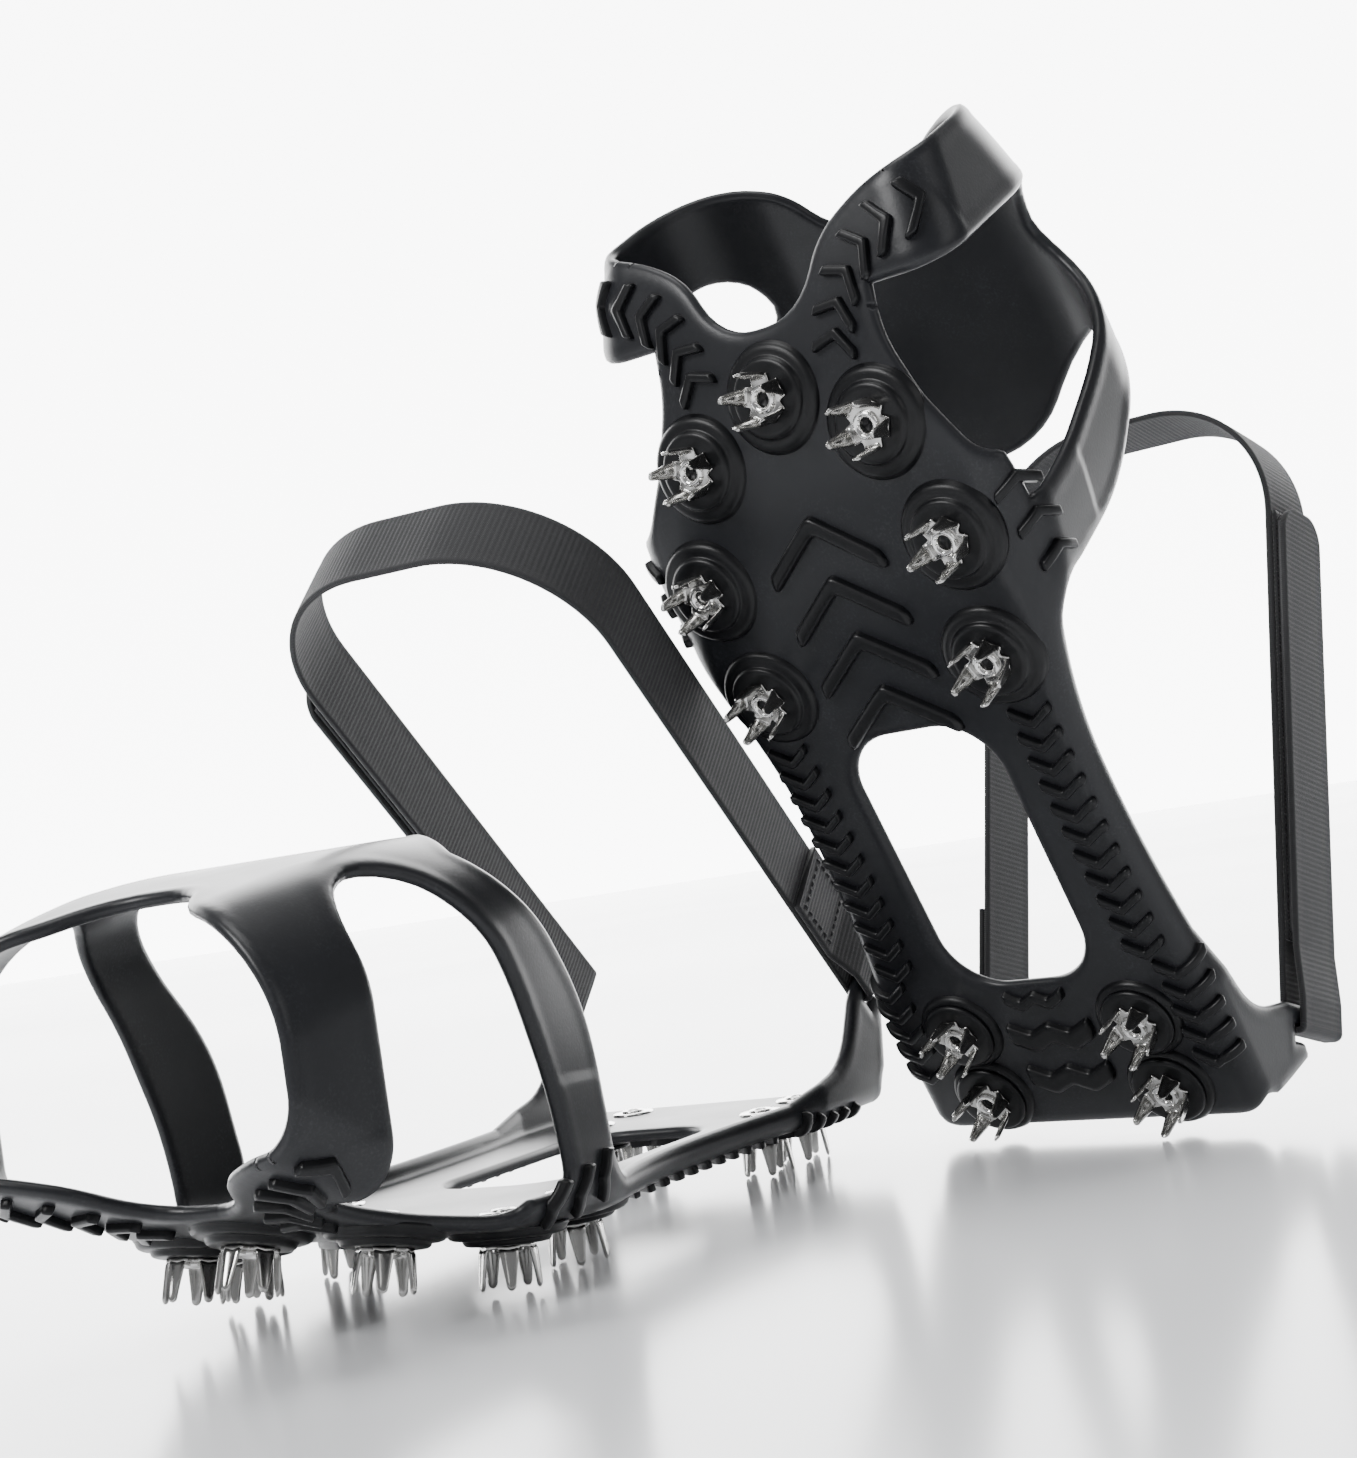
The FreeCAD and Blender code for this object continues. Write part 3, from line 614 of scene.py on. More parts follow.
def plate_shape(turn):
    """Star plate: an outline with a straight side at each claw and a hollow notch between claws, eased
    at its edges and pressed into shallow waves towards them."""
    steps = 100
    angle = np.arange(steps) * 2 * math.pi / steps
    off = np.degrees(np.abs((angle + math.pi / 5) % (2 * math.pi / 5) - math.pi / 5))
    flat = 5.47 / np.cos(np.radians(np.minimum(off, 22.0)))
    notch = 4.3 + 1.6 * (np.clip(36 - off, 0, 14) / 14) ** 1.6
    edge = np.where(off < 22.0, flat, notch)
    rings = [(0, 1.62, 0.9), (0, 1.62, -0.9), (0, 2.3, -1), (0, 3.2, -1), (0.9, 0, -1), (0.3, 0, -1),
             (0.1, 0, -0.9), (0, 0, -0.5), (0, 0, 0.5), (0.1, 0, 0.9), (0.3, 0, 1), (0.9, 0, 1), (0, 3.2, 1),
             (0, 2.3, 1)]
    radius = np.array([np.full(steps, fixed) if fixed else edge - inset for inset, fixed, _ in rings])
    press = 0.16 * np.cos(5 * angle)[None, :] * np.clip((radius - 3.0) / 2.5, 0, 1)
    height = np.array([z for _, _, z in rings])[:, None] * 0.46 - press - BOSS_HEIGHT - STAR_THICK / 2
    a = angle[None, :] + math.radians(turn + 90)
    points = np.stack([radius * np.cos(a), radius * np.sin(a), height], axis=-1)
    return points, [closed_grid(len(rings), steps)], points[..., :2] * UV_SCALE


def star_shape(index, x, y):
    """Stamped star: its plate and five bent claws, every other star turned half a claw's step."""
    parts = []
    turn = 36 * (index % 2)
    for points, faces, uv in [plate_shape(turn)] + [claw_shape(72 * k + turn) for k in range(5)]:
        points = stud_to_cleat(points, x, y).reshape(-1, 3)
        parts.append((points, outward(points, faces), uv.reshape(-1, 2)))
    return gather(parts)


def rivet_shape(x, y):
    """Tubular rivet: rolled rim under the star, shank, and spread head on the washer."""
    low = -BOSS_HEIGHT - STAR_THICK
    high = RUBBER - WASHER_SUNK + WASHER_THICK
    rim = [(1.5, 0.9), (1.55, 0.1), (1.7, -0.35), (1.98, -0.75), (2.3, -0.98), (2.62, -1.02), (2.95, -0.88),
           (3.2, -0.55), (3.28, -0.2), (3.2, 0.04), (RIVET_SHANK, 0.04)]
    head = [(RIVET_SHANK, 0), (2.95, 0), (3.02, 0.2), (2.85, 0.45), (2.4, 0.6), (1.9, 0.52), (1.58, 0.3),
            (RIVET_BORE, 0)]
    return stud_ring([(r, low + z) for r, z in rim] + [(r, high + z) for r, z in head], 32, x, y)


def washer_shape(x, y):
    """Backing washer, its edges eased, with a slight dish."""
    low = RUBBER - WASHER_SUNK
    profile = [(2.06, 0), (5.2, 0), (5.45, 0.12), (5.5, 0.4), (5.4, 0.66), (5.1, 0.8), (3.4, 0.76),
               (2.2, 0.78), (2.06, 0.66)]
    return stud_ring([(r, low + z) for r, z in profile], 36, x, y)


# ---------------------------------------------------------------- webbing

def bent_path(corners, pitch):
    """Path through (x, s, radius) corners with arcs at the bends, evenly respaced by pitch."""
    points = [np.array(corners[0][:2], float)]
    for before, here, after in zip(corners[:-2], corners[1:-1], corners[2:]):
        points += list(corner_arc(before[:2], here[:2], after[:2], here[2], 24))
    points.append(np.array(corners[-1][:2], float))
    points = np.array(points)
    length = np.concatenate([[0], np.cumsum(np.linalg.norm(np.diff(points, axis=0), axis=1))])
    s = np.linspace(0, length[-1], max(4, int(length[-1] / pitch)))
    return s, np.stack([np.interp(s, length, points[:, 0]), np.interp(s, length, points[:, 1])], axis=1)


def webbing(corners, width, thick, rib, pitch=0.225, round_end=0.0):
    """Flat band along a bent path: a rounded section, crosswise ribs as a cosine of the run, and a
    half-round free end where asked."""
    run, path = bent_path(corners, pitch)
    tangent = np.gradient(path, axis=0)
    tangent /= np.linalg.norm(tangent, axis=1, keepdims=True)
    normal = np.stack([-tangent[:, 1], tangent[:, 0]], axis=1)
    half = np.full(len(run), width / 2)
    if round_end:
        ahead = np.clip(run[-1] - run, 0, round_end) / round_end
        half = width / 2 - round_end + round_end * np.sqrt(np.clip(1 - (1 - ahead) ** 2, 0, 1))
    across = np.array([-1, -0.985, -0.93, -0.88, -0.6, -0.2, 0.2, 0.6, 0.88, 0.93, 0.985, 1])
    lift = np.array([0.35, 0.8, 1, 0.93, 1, 1, 1, 1, 0.93, 1, 0.8, 0.35])
    across = np.concatenate([across, across[::-1]])
    lift = np.concatenate([lift, -lift[::-1]])
    ribs = 1 + rib * np.cos(2 * math.pi * run / RIB_PITCH)[:, None] * (np.abs(across) < 0.9)[None, :]
    off = lift[None, :] * ribs * thick / 2
    x = path[:, :1] + normal[:, :1] * off
    s = path[:, 1:] + normal[:, 1:] * off
    w = across[None, :] * half[:, None]
    points = strap_to_cleat(x, s, w).reshape(-1, 3)
    uv = np.stack([np.repeat(run[:, None], len(across), 1), w], axis=-1).reshape(-1, 2) * 0.1
    return points, outward(points, tube_faces(len(run), len(across))), uv


def strap_corners(out):
    """The strap's path: sewn tail, round the inner ear's bar, over the ankle, down to the outer bar."""
    return [(-out * TAIL_LANE, 32.0, 0), (-out * TAIL_LANE, 12.0, 4.0), (-out * LAYER_OUT, 3.0, 4.0),
            (-out * LAYER_OUT, FOLD, STRAP_THICK), (-out * LAYER_IN, FOLD, STRAP_THICK),
            (-out * LAYER_IN, STRAP_LENGTH, 34.0), (out * LAYER_IN, STRAP_LENGTH, 34.0),
            (out * LAYER_IN, FOLD, STRAP_THICK), (out * (LAYER_OUT - STRAP_THICK), FOLD, 0)]


def fold_corners(out):
    """The short turn of webbing at the hinge, between the strap and its flap."""
    return [(out * (LAYER_OUT - STRAP_THICK), FOLD, 0), (out * LAYER_OUT, FOLD, 1.3),
            (out * LAYER_OUT, FOLD + STRAP_THICK, 0)]


def flap_corners(out):
    """The flap's path: up from the fold and in on to the strap."""
    return [(out * LAYER_OUT, FOLD + STRAP_THICK, 0), (out * LAYER_OUT, 2.0, 6.0),
            (out * FLAP_LANE, 14.0, 6.0), (out * FLAP_LANE, FLAP_LENGTH, 0)]


def spread_points(rows, cols, low, high, half):
    """Grid of (s, w) places for hooks or loops, every other column half a step on."""
    s, w = np.meshgrid(np.linspace(low, high, rows), np.linspace(-half, half, cols), indexing="ij")
    s = s + (np.arange(cols) % 2)[None, :] * (high - low) / rows / 2
    return s.ravel(), w.ravel()


def hook_field(out):
    """Little mushroom hooks that stand inwards off the flap's tape: six-sided stems with wide heads."""
    s, w = spread_points(76, 13, 20.0, 122.0, 8.2)
    ring = np.arange(6) * math.pi / 3
    radius = np.array([0.16, 0.13, 0.30, 0.24, 0.04])
    height = np.array([-0.05, 0.12, 0.14, 0.22, 0.25])
    x = out * (FLAP_LANE - STRAP_THICK / 2 - TAPE_THICK - height)
    px = np.repeat(np.repeat(x[None, :, None], len(s), 0), len(ring), 2)
    ps = s[:, None, None] + radius[None, :, None] * np.cos(ring)
    pw = w[:, None, None] + radius[None, :, None] * np.sin(ring)
    return field_faces(strap_to_cleat(px, ps, pw))


def loop_field(out):
    """Loops on the strap's tape: three-sided arches of fine thread, turned at golden-angle steps."""
    s, w = spread_points(84, 15, 17.0, 126.0, 8.4)
    t = np.linspace(0, math.pi, 7)
    angle = (np.arange(len(s)) * GOLDEN_ANGLE)[:, None]
    reach = (0.55 + 0.2 * np.sin(np.arange(len(s)) * 1.7))[:, None]
    cs = s[:, None] + reach * np.cos(t) * np.cos(angle)
    cw = w[:, None] + reach * np.cos(t) * np.sin(angle)
    ch = -0.1 + 0.36 * np.sin(t)[None, :] + 0 * cs
    ring = np.array([0, 2, 4]) * math.pi / 3
    ps = cs[..., None] + 0.07 * np.cos(ring) * -np.sin(angle)[..., None]
    pw = cw[..., None] + 0.07 * np.cos(ring) * np.cos(angle)[..., None]
    px = out * (LAYER_IN + STRAP_THICK / 2 + TAPE_THICK + ch[..., None] + 0.07 * np.sin(ring))
    return field_faces(strap_to_cleat(px, ps, pw))


def field_faces(points):
    """Faces for many small tubes given as (tube, ring, corner) points, each closed at both ends."""
    count, rows, cols = points.shape[:3]
    first = (np.arange(count) * rows * cols)[:, None, None]
    faces = {}
    for f in outward(points[0].reshape(-1, 3), tube_faces(rows, cols)):
        faces.setdefault(f.shape[1], []).append((first + f[None]).reshape(-1, f.shape[1]))
    flat = points.reshape(-1, 3)
    return flat, [np.concatenate(f) for f in faces.values()], flat[:, :2] * UV_SCALE


def stitch_field(out):
    """Box of sewn stitches through the tail: short beads, fat in the middle and sunk at the ends."""
    outer = TAIL_LANE + STRAP_THICK / 2
    low, high, half, pitch = 15.0, 29.0, 7.5, 2.4
    rows = int((high - low) / pitch)
    cols = int(2 * half / pitch)
    seams = [(low + i * (high - low) / rows, edge, 1.0) for i in range(rows + 1) for edge in (-half, half)]
    seams += [(level, -half + i * 2 * half / cols, 0.0) for i in range(1, cols) for level in (low, high)]
    s, w, along = np.array(seams).T
    t = np.linspace(-1, 1, 9)
    ring = np.arange(8) * math.pi / 4
    body = 0.34 * np.sqrt(np.clip(1 - t ** 4, 0.01, 1))
    reach = 0.95 * t
    a = along[:, None, None]
    ps = s[:, None, None] + a * reach[None, :, None] + (1 - a) * (body[:, None] * np.cos(ring))[None]
    pw = w[:, None, None] + (1 - a) * reach[None, :, None] + a * (body[:, None] * np.cos(ring))[None]
    sunk = 0.22 - 0.35 * (t ** 2)[None, :, None]
    px = -out * (outer + sunk + (body[:, None] * np.sin(ring))[None] + 0 * ps)
    return field_faces(strap_to_cleat(px, ps, pw))


# ---------------------------------------------------------------- materials

# Sockets of a Mix node that mixes colours, by number: it has others of the same names for plain values.
MIX_SHARE, MIX_FIRST, MIX_SECOND, MIX_RESULT = 0, 6, 7, 2


def node(tree, kind, place=(0, 0), **values):
    """Adds a shader node, sets its properties, and its inputs by name."""
    made = tree.nodes.new(kind)
    made.location = place
    for key, value in values.items():
        if hasattr(made, key):
            setattr(made, key, value)
        else:
            made.inputs[key.replace("_", " ")].default_value = value
    return made


def link(tree, source, out, target, into):
    """Joins a node's output to another's input, each given by name or number."""
    tree.links.new(source.outputs[out], target.inputs[into])


def new_group(name, inputs, outputs):
    """Empty shader group with named float, vector or colour sockets."""
    tree = bpy.data.node_groups.new(name, "ShaderNodeTree")
    kinds = {"value": "NodeSocketFloat", "vector": "NodeSocketVector", "colour": "NodeSocketColor"}
    for label, kind, default in inputs:
        socket = tree.interface.new_socket(label, in_out="INPUT", socket_type=kinds[kind])
        if default is not None:
            socket.default_value = default
    for label, kind in outputs:
        tree.interface.new_socket(label, in_out="OUTPUT", socket_type=kinds[kind])
    return tree, node(tree, "NodeGroupInput", (-700, 0)), node(tree, "NodeGroupOutput", (500, 0))


def mottle_group():
    """Two noises of different size, mixed: a soft blotch and a fine grain, for colour, gloss and height."""
    tree, given, put = new_group("mottle", [("Vector", "vector", None), ("Blotch Scale", "value", 30.0),
                                            ("Grain Scale", "value", 900.0)],
                                 [("Blotch", "value"), ("Grain", "value")])
    for label, row in (("Blotch", 150), ("Grain", -150)):
        noise = node(tree, "ShaderNodeTexNoise", (-300, row), Detail=3.0, Roughness=0.55)
        link(tree, given, "Vector", noise, "Vector")
        link(tree, given, label + " Scale", noise, "Scale")
        link(tree, noise, "Fac", put, label)
    return tree


def dust_group():
    """Pale specks gathered in blotches, laid over a base colour, with the mask put out for gloss."""
    tree, given, put = new_group("dust", [("Vector", "vector", None), ("Base", "colour", (0, 0, 0, 1)),
                                          ("Dust", "colour", (0.3, 0.3, 0.3, 1)), ("Amount", "value", 0.1)],
                                 [("Color", "colour"), ("Mask", "value")])
    blotch = node(tree, "ShaderNodeTexNoise", (-500, 100), Scale=45.0, Detail=5.0, Roughness=0.7)
    speck = node(tree, "ShaderNodeTexNoise", (-500, -150), Scale=1600.0, Detail=1.0)
    link(tree, given, "Vector", blotch, "Vector")
    link(tree, given, "Vector", speck, "Vector")
    ramp = node(tree, "ShaderNodeMapRange", (-300, 100), From_Min=0.45, From_Max=0.8)
    cut = node(tree, "ShaderNodeMapRange", (-300, -150), From_Min=0.5, From_Max=0.72)
    link(tree, blotch, "Fac", ramp, "Value")
    link(tree, speck, "Fac", cut, "Value")
    both = node(tree, "ShaderNodeMath", (-100, 0), operation="MULTIPLY")
    link(tree, ramp, 0, both, 0)
    link(tree, cut, 0, both, 1)
    scaled = node(tree, "ShaderNodeMath", (60, 0), operation="MULTIPLY")
    link(tree, both, 0, scaled, 0)
    link(tree, given, "Amount", scaled, 1)
    mix = node(tree, "ShaderNodeMix", (250, 60), data_type="RGBA")
    link(tree, scaled, 0, mix, MIX_SHARE)
    link(tree, given, "Base", mix, MIX_FIRST)
    link(tree, given, "Dust", mix, MIX_SECOND)
    link(tree, mix, MIX_RESULT, put, "Color")
    link(tree, scaled, 0, put, "Mask")
    return tree


def weave_group():
    """Crossed threads from the piece's own UV run: one sine along the band and one across it."""
    tree, given, put = new_group("weave", [("UV", "vector", None), ("Along", "value", 90.0),
                                           ("Across", "value", 60.0)],
                                 [("Thread", "value"), ("Height", "value")])
    split = node(tree, "ShaderNodeSeparateXYZ", (-500, 0))
    link(tree, given, "UV", split, "Vector")
    waves = []
    for axis, label, row in (("X", "Along", 150), ("Y", "Across", -150)):
        turn = node(tree, "ShaderNodeMath", (-300, row), operation="MULTIPLY")
        link(tree, split, axis, turn, 0)
        link(tree, given, label, turn, 1)
        wave = node(tree, "ShaderNodeMath", (-120, row), operation="SINE")
        link(tree, turn, 0, wave, 0)
        waves.append(wave)
    cross = node(tree, "ShaderNodeMath", (60, 0), operation="MULTIPLY")
    link(tree, waves[0], 0, cross, 0)
    link(tree, waves[1], 0, cross, 1)
    half = node(tree, "ShaderNodeMapRange", (240, 0), From_Min=-1.0, From_Max=1.0)
    link(tree, cross, 0, half, "Value")
    link(tree, half, 0, put, "Thread")
    link(tree, half, 0, put, "Height")
    return tree


def start_material(name, **values):
    """Material with its node tree, its shader with the given values, and its coordinates."""
    material = bpy.data.materials.new(name)
    material.use_nodes = True
    tree = material.node_tree
    shader = tree.nodes["Principled BSDF"]
    for key, value in values.items():
        shader.inputs[key.replace("_", " ")].default_value = value
    where = node(tree, "ShaderNodeTexCoord", (-1100, 0))
    return material, tree, shader, where


def colour_mix(tree, shader, source, out, dark, light):
    """Base colour that goes from dark to light with the source."""
    mix = node(tree, "ShaderNodeMix", (-400, 250), data_type="RGBA")
    mix.inputs[MIX_FIRST].default_value = (*dark, 1)
    mix.inputs[MIX_SECOND].default_value = (*light, 1)
    link(tree, source, out, mix, MIX_SHARE)
    link(tree, mix, MIX_RESULT, shader, "Base Color")
    return mix


def gloss_range(tree, shader, source, out, low, high):
    """Roughness that goes from low to high over the middle of the source's range."""
    spread = node(tree, "ShaderNodeMapRange", (-400, 0), From_Min=0.3, From_Max=0.7, To_Min=low, To_Max=high)
    link(tree, source, out, spread, "Value")
    link(tree, spread, 0, shader, "Roughness")


def bump_to(tree, shader, source, out, strength, distance):
    """Bump from the source's height on the shader's normal."""
    bump = node(tree, "ShaderNodeBump", (-200, -250), Strength=strength, Distance=distance)
    link(tree, source, out, bump, "Height")
    link(tree, bump, "Normal", shader, "Normal")


def make_materials(sizes):
    """Every finish by name: the rubber and a darker copy of it that paints shade on the tread bars and
    bosses, two steels, four cloths, and the studio's floor and backdrop.
    """
    groups = {"mottle": mottle_group(), "dust": dust_group(), "weave": weave_group()}

    def use(tree, name, where, out="Object", into="Vector", place=(-800, 100), **values):
        """Places a shared group in a material, with its coordinates and values."""
        made = node(tree, "ShaderNodeGroup", place)
        made.node_tree = groups[name]
        link(tree, where, out, made, into)
        for key, value in values.items():
            made.inputs[key.replace("_", " ")].default_value = value
        return made

    done = {}
    # The tread copy is the same rubber darkened to 0.4 and made less specular. This is painted shade for the
    # bars' shaded flanks and the dark they reflect. Its smaller dust share is real dust.
    for name, painted_shade, specks in (("rubber", 1.0, sizes.dust), ("tread", 0.4, sizes.dust * 0.3)):
        specular = 0.36 - 0.14 * (1 - painted_shade)
        material, tree, shader, where = start_material("moulded_" + name, Specular_IOR_Level=specular)
        mottle = use(tree, "mottle", where, Blotch_Scale=28.0, Grain_Scale=1500.0)
        base = colour_mix(tree, shader, mottle, "Blotch", tuple(painted_shade * c for c in sizes.rubber_colour),
                          tuple(1.5 * painted_shade * c for c in sizes.rubber_colour))
        dust = use(tree, "dust", where, place=(-150, 450), Dust=(0.16, 0.17, 0.19, 1), Amount=specks)
        link(tree, base, MIX_RESULT, dust, "Base")
        link(tree, dust, "Color", shader, "Base Color")
        gloss_range(tree, shader, mottle, "Blotch", sizes.rubber_gloss - 0.04, sizes.rubber_gloss + 0.06)
        bump_to(tree, shader, mottle, "Grain", 0.10, 0.0002)
        done[name] = material

    # The stars' steel is tinted much darker than the rivets'. This is painted shade standing in for the dark
    # surroundings their claws reflect.
    for name, low, high, tint in (("stamped_steel", 0.17, 0.21, (0.54, 0.535, 0.52)),
                                  ("rolled_steel", 0.11, 0.15, (0.86, 0.855, 0.84))):
        material, tree, shader, where = start_material(name, Metallic=1.0)
        mottle = use(tree, "mottle", where, Blotch_Scale=160.0, Grain_Scale=2600.0)
        colour_mix(tree, shader, mottle, "Blotch", tuple(0.86 * c for c in tint), tint)
        gloss_range(tree, shader, mottle, "Grain", low, high)
        bump_to(tree, shader, mottle, "Blotch", 0.02, 0.0001)
        done[name] = material

    for name, dark, light, rough, along, across, sheen in (
            ("black_webbing", (0.010, 0.010, 0.011), (0.040, 0.041, 0.045), 0.78, 116.0, 150.0, 0.25),
            ("loop_tape", (0.012, 0.012, 0.013), (0.050, 0.050, 0.055), 0.95, 60.0, 60.0, 0.6),
            ("hook_tape", (0.020, 0.020, 0.022), (0.085, 0.086, 0.092), 0.45, 80.0, 80.0, 0.0),
            ("black_thread", (0.012, 0.012, 0.013), (0.055, 0.056, 0.060), 0.6, 200.0, 200.0, 0.2)):
        material, tree, shader, where = start_material(name, Sheen_Weight=sheen, Sheen_Roughness=0.4)
        weave = use(tree, "weave", where, "UV", "UV", Along=along, Across=across)
        mottle = use(tree, "mottle", where, place=(-800, -200), Blotch_Scale=60.0, Grain_Scale=2200.0)
        both = node(tree, "ShaderNodeMath", (-600, 0), operation="MULTIPLY")
        link(tree, weave, "Thread", both, 0)
        link(tree, mottle, "Grain", both, 1)
        colour_mix(tree, shader, both, 0, dark, light)
        gloss_range(tree, shader, mottle, "Grain", rough - 0.08, rough + 0.05)
        bump_to(tree, shader, both, 0, 0.5, 0.0003)
        done[name] = material

    material, tree, shader, where = start_material("studio_floor", Specular_IOR_Level=0.5)
    mottle = use(tree, "mottle", where, Blotch_Scale=1.5, Grain_Scale=40.0)
    colour_mix(tree, shader, mottle, "Blotch", (0.80, 0.81, 0.83), (0.84, 0.85, 0.87))
    gloss_range(tree, shader, mottle, "Blotch", 0.13, 0.19)
    done["floor"] = material

    material, tree, shader, where = start_material("studio_backdrop", Roughness=1.0,
                                                   Emission_Strength=sizes.backdrop)
    shader.inputs["Base Color"].default_value = (0.9, 0.9, 0.9, 1)
    shader.inputs["Emission Color"].default_value = (1.0, 1.0, 1.0, 1)
    done["backdrop"] = material
    return done


MATERIALS = {}


def ready_sizes(context):
    """The scene's sizes, with every material made the first time that an operator needs one."""
    sizes = context.scene.ice_cleat_sizes
    if not MATERIALS:
        MATERIALS.update(make_materials(sizes))
    return sizes


# ---------------------------------------------------------------- settings

class IceCleatSizes(bpy.types.PropertyGroup):
    """What a user would change about the pair's shapes and finish."""
    web_pitch: bpy.props.FloatProperty(
        name="Web grid", description="Spacing of the rubber's grid",
        default=1.15 * MM, min=0.6 * MM, max=4 * MM, unit="LENGTH")
    lug_height: bpy.props.FloatProperty(
        name="Lug height", description="How far the tread bars stand proud",
        default=1.9 * MM, min=0.2 * MM, max=4 * MM, unit="LENGTH")
    webbing_width: bpy.props.FloatProperty(
        name="Webbing width", description="Width of the ankle strap",
        default=20 * MM, min=8 * MM, max=40 * MM, unit="LENGTH")
    webbing_thickness: bpy.props.FloatProperty(
        name="Webbing thickness", description="Thickness of the strap",
        default=STRAP_THICK * MM, min=0.5 * MM, max=4 * MM, unit="LENGTH")
    rib_depth: bpy.props.FloatProperty(
        name="Rib depth", description="Depth of the strap's cross ribs, as a share of its half thickness",
        default=0.07, min=0.0, max=0.3, subtype="FACTOR")
    rubber_colour: bpy.props.FloatVectorProperty(
        name="Rubber colour", description="Base colour of the rubber",
        default=(0.0075, 0.0080, 0.0098), min=0, max=1, subtype="COLOR")
    rubber_gloss: bpy.props.FloatProperty(
        name="Rubber roughness", description="Roughness of the rubber's skin",
        default=0.35, min=0.05, max=1.0, subtype="FACTOR")
    backdrop: bpy.props.FloatProperty(
        name="Backdrop glow", description="How brightly the white backdrop is lit",
        default=8.0, min=0, max=50)
    dust: bpy.props.FloatProperty(
        name="Dust", description="Amount of pale dust on the rubber",
        default=0.12, min=0.0, max=1.0, subtype="FACTOR")


class IceCleatStage(bpy.types.PropertyGroup):
    """Camera and light."""
    camera_place: bpy.props.FloatVectorProperty(
        name="Camera", description="Where the camera stands",
        default=(0.2727, -0.4977, 0.0878), subtype="TRANSLATION")
    heading: bpy.props.FloatProperty(
        name="Heading", description="Turn of the view from +Y towards +X",
        default=math.radians(-29.70), subtype="ANGLE")
    pitch: bpy.props.FloatProperty(
        name="Pitch", description="Tilt of the view upwards",
        default=math.radians(2.46), subtype="ANGLE")
    roll: bpy.props.FloatProperty(
        name="Roll", description="Roll of the camera",
        default=math.radians(-8.59), subtype="ANGLE")
    focal: bpy.props.FloatProperty(
        name="Focal length", description="Lens for a 36 mm wide sensor, in mm",
        default=64.731, min=10, max=400)
    key_power: bpy.props.FloatProperty(
        name="Key light", description="Power of the main softbox",
        default=13.0, min=0, max=1000, unit="POWER")
    fill_power: bpy.props.FloatProperty(
        name="Fill light", description="Power of the fill softboxes",
        default=6.0, min=0, max=1000, unit="POWER")
    sky: bpy.props.FloatProperty(
        name="Room light", description="Strength of the even room light",
        default=0.30, min=0, max=5)


def finish_piece(piece, body, nodes):
    """Ties a piece to its body, and hides the frame nodes it stands for."""
    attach(piece, body)
    if nodes:
        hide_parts(*nodes)


def build_piece(side, label, shape, material, nodes, body="cleat"):
    """Makes one finished piece of a cleat and ties it to its body and frame nodes."""
    points, faces, uv = shape
    piece = add_mesh(side + "_" + label, to_frame(points, side), faces, MATERIALS[material], uv)
    if len(piece.data.polygons) == 0:
        raise RuntimeError(piece.name + " came out empty")
    finish_piece(piece, side + "_" + body, [side + "_" + n for n in nodes])


class ICECLEATS_OT_web(bpy.types.Operator):
    """Moulded rubber web with its rims and step line"""
    bl_idname = "icecleats.web"
    bl_label = "Rubber web"
    bl_options = {"REGISTER", "UNDO"}

    def execute(self, context):
        shell = rubber_shell(ready_sizes(context).web_pitch / MM)
        for side in SIDES:
            build_piece(side, "rubber_web", shell, "rubber",
                        ["outsole", "toe_web", "ear_outer", "ear_inner"])
        return {"FINISHED"}


class ICECLEATS_OT_tread(bpy.types.Operator):
    """Tread bars and the round bosses under the studs"""
    bl_idname = "icecleats.tread"
    bl_label = "Tread and bosses"
    bl_options = {"REGISTER", "UNDO"}

    def execute(self, context):
        height = ready_sizes(context).lug_height / MM
        parts = [lug_shape(*lug, height) for lug in lug_list() if clear_of_studs(lug[0], lug[1])]
        parts += heel_bars(height) + [boss_shape(x, y) for x, y in stud_points()]
        tread = gather(parts)
        for side in SIDES:
            # The tread bars and bosses take the rubber's darker copy, which paints shade on them.
            build_piece(side, "tread", tread, "tread", [])
        return {"FINISHED"}


class ICECLEATS_OT_stars(bpy.types.Operator):
    """Stamped star plates with their bent claws"""
    bl_idname = "icecleats.stars"
    bl_label = "Star plates"
    bl_options = {"REGISTER", "UNDO"}

    def execute(self, context):
        ready_sizes(context)
        parts = [star_shape(i, x, y) for i, (x, y) in enumerate(stud_points())]
        nodes = ["claw_%02d" % (i + 1) for i in range(len(parts))]
        stars = gather(parts)
        for side in SIDES:
            build_piece(side, "star_plates", stars, "stamped_steel", nodes)
        return {"FINISHED"}


class ICECLEATS_OT_rivets(bpy.types.Operator):
    """Tubular rivets and their backing washers"""
    bl_idname = "icecleats.rivets"
    bl_label = "Rivets and washers"
    bl_options = {"REGISTER", "UNDO"}

    def execute(self, context):
        ready_sizes(context)
        rivets = gather([rivet_shape(x, y) for x, y in stud_points()])
        washers = gather([washer_shape(x, y) for x, y in stud_points()])
        for side in SIDES:
            build_piece(side, "tubular_rivets", rivets, "rolled_steel", ["rivets"])
            build_piece(side, "backing_washers", washers, "rolled_steel", ["washers"])
        return {"FINISHED"}


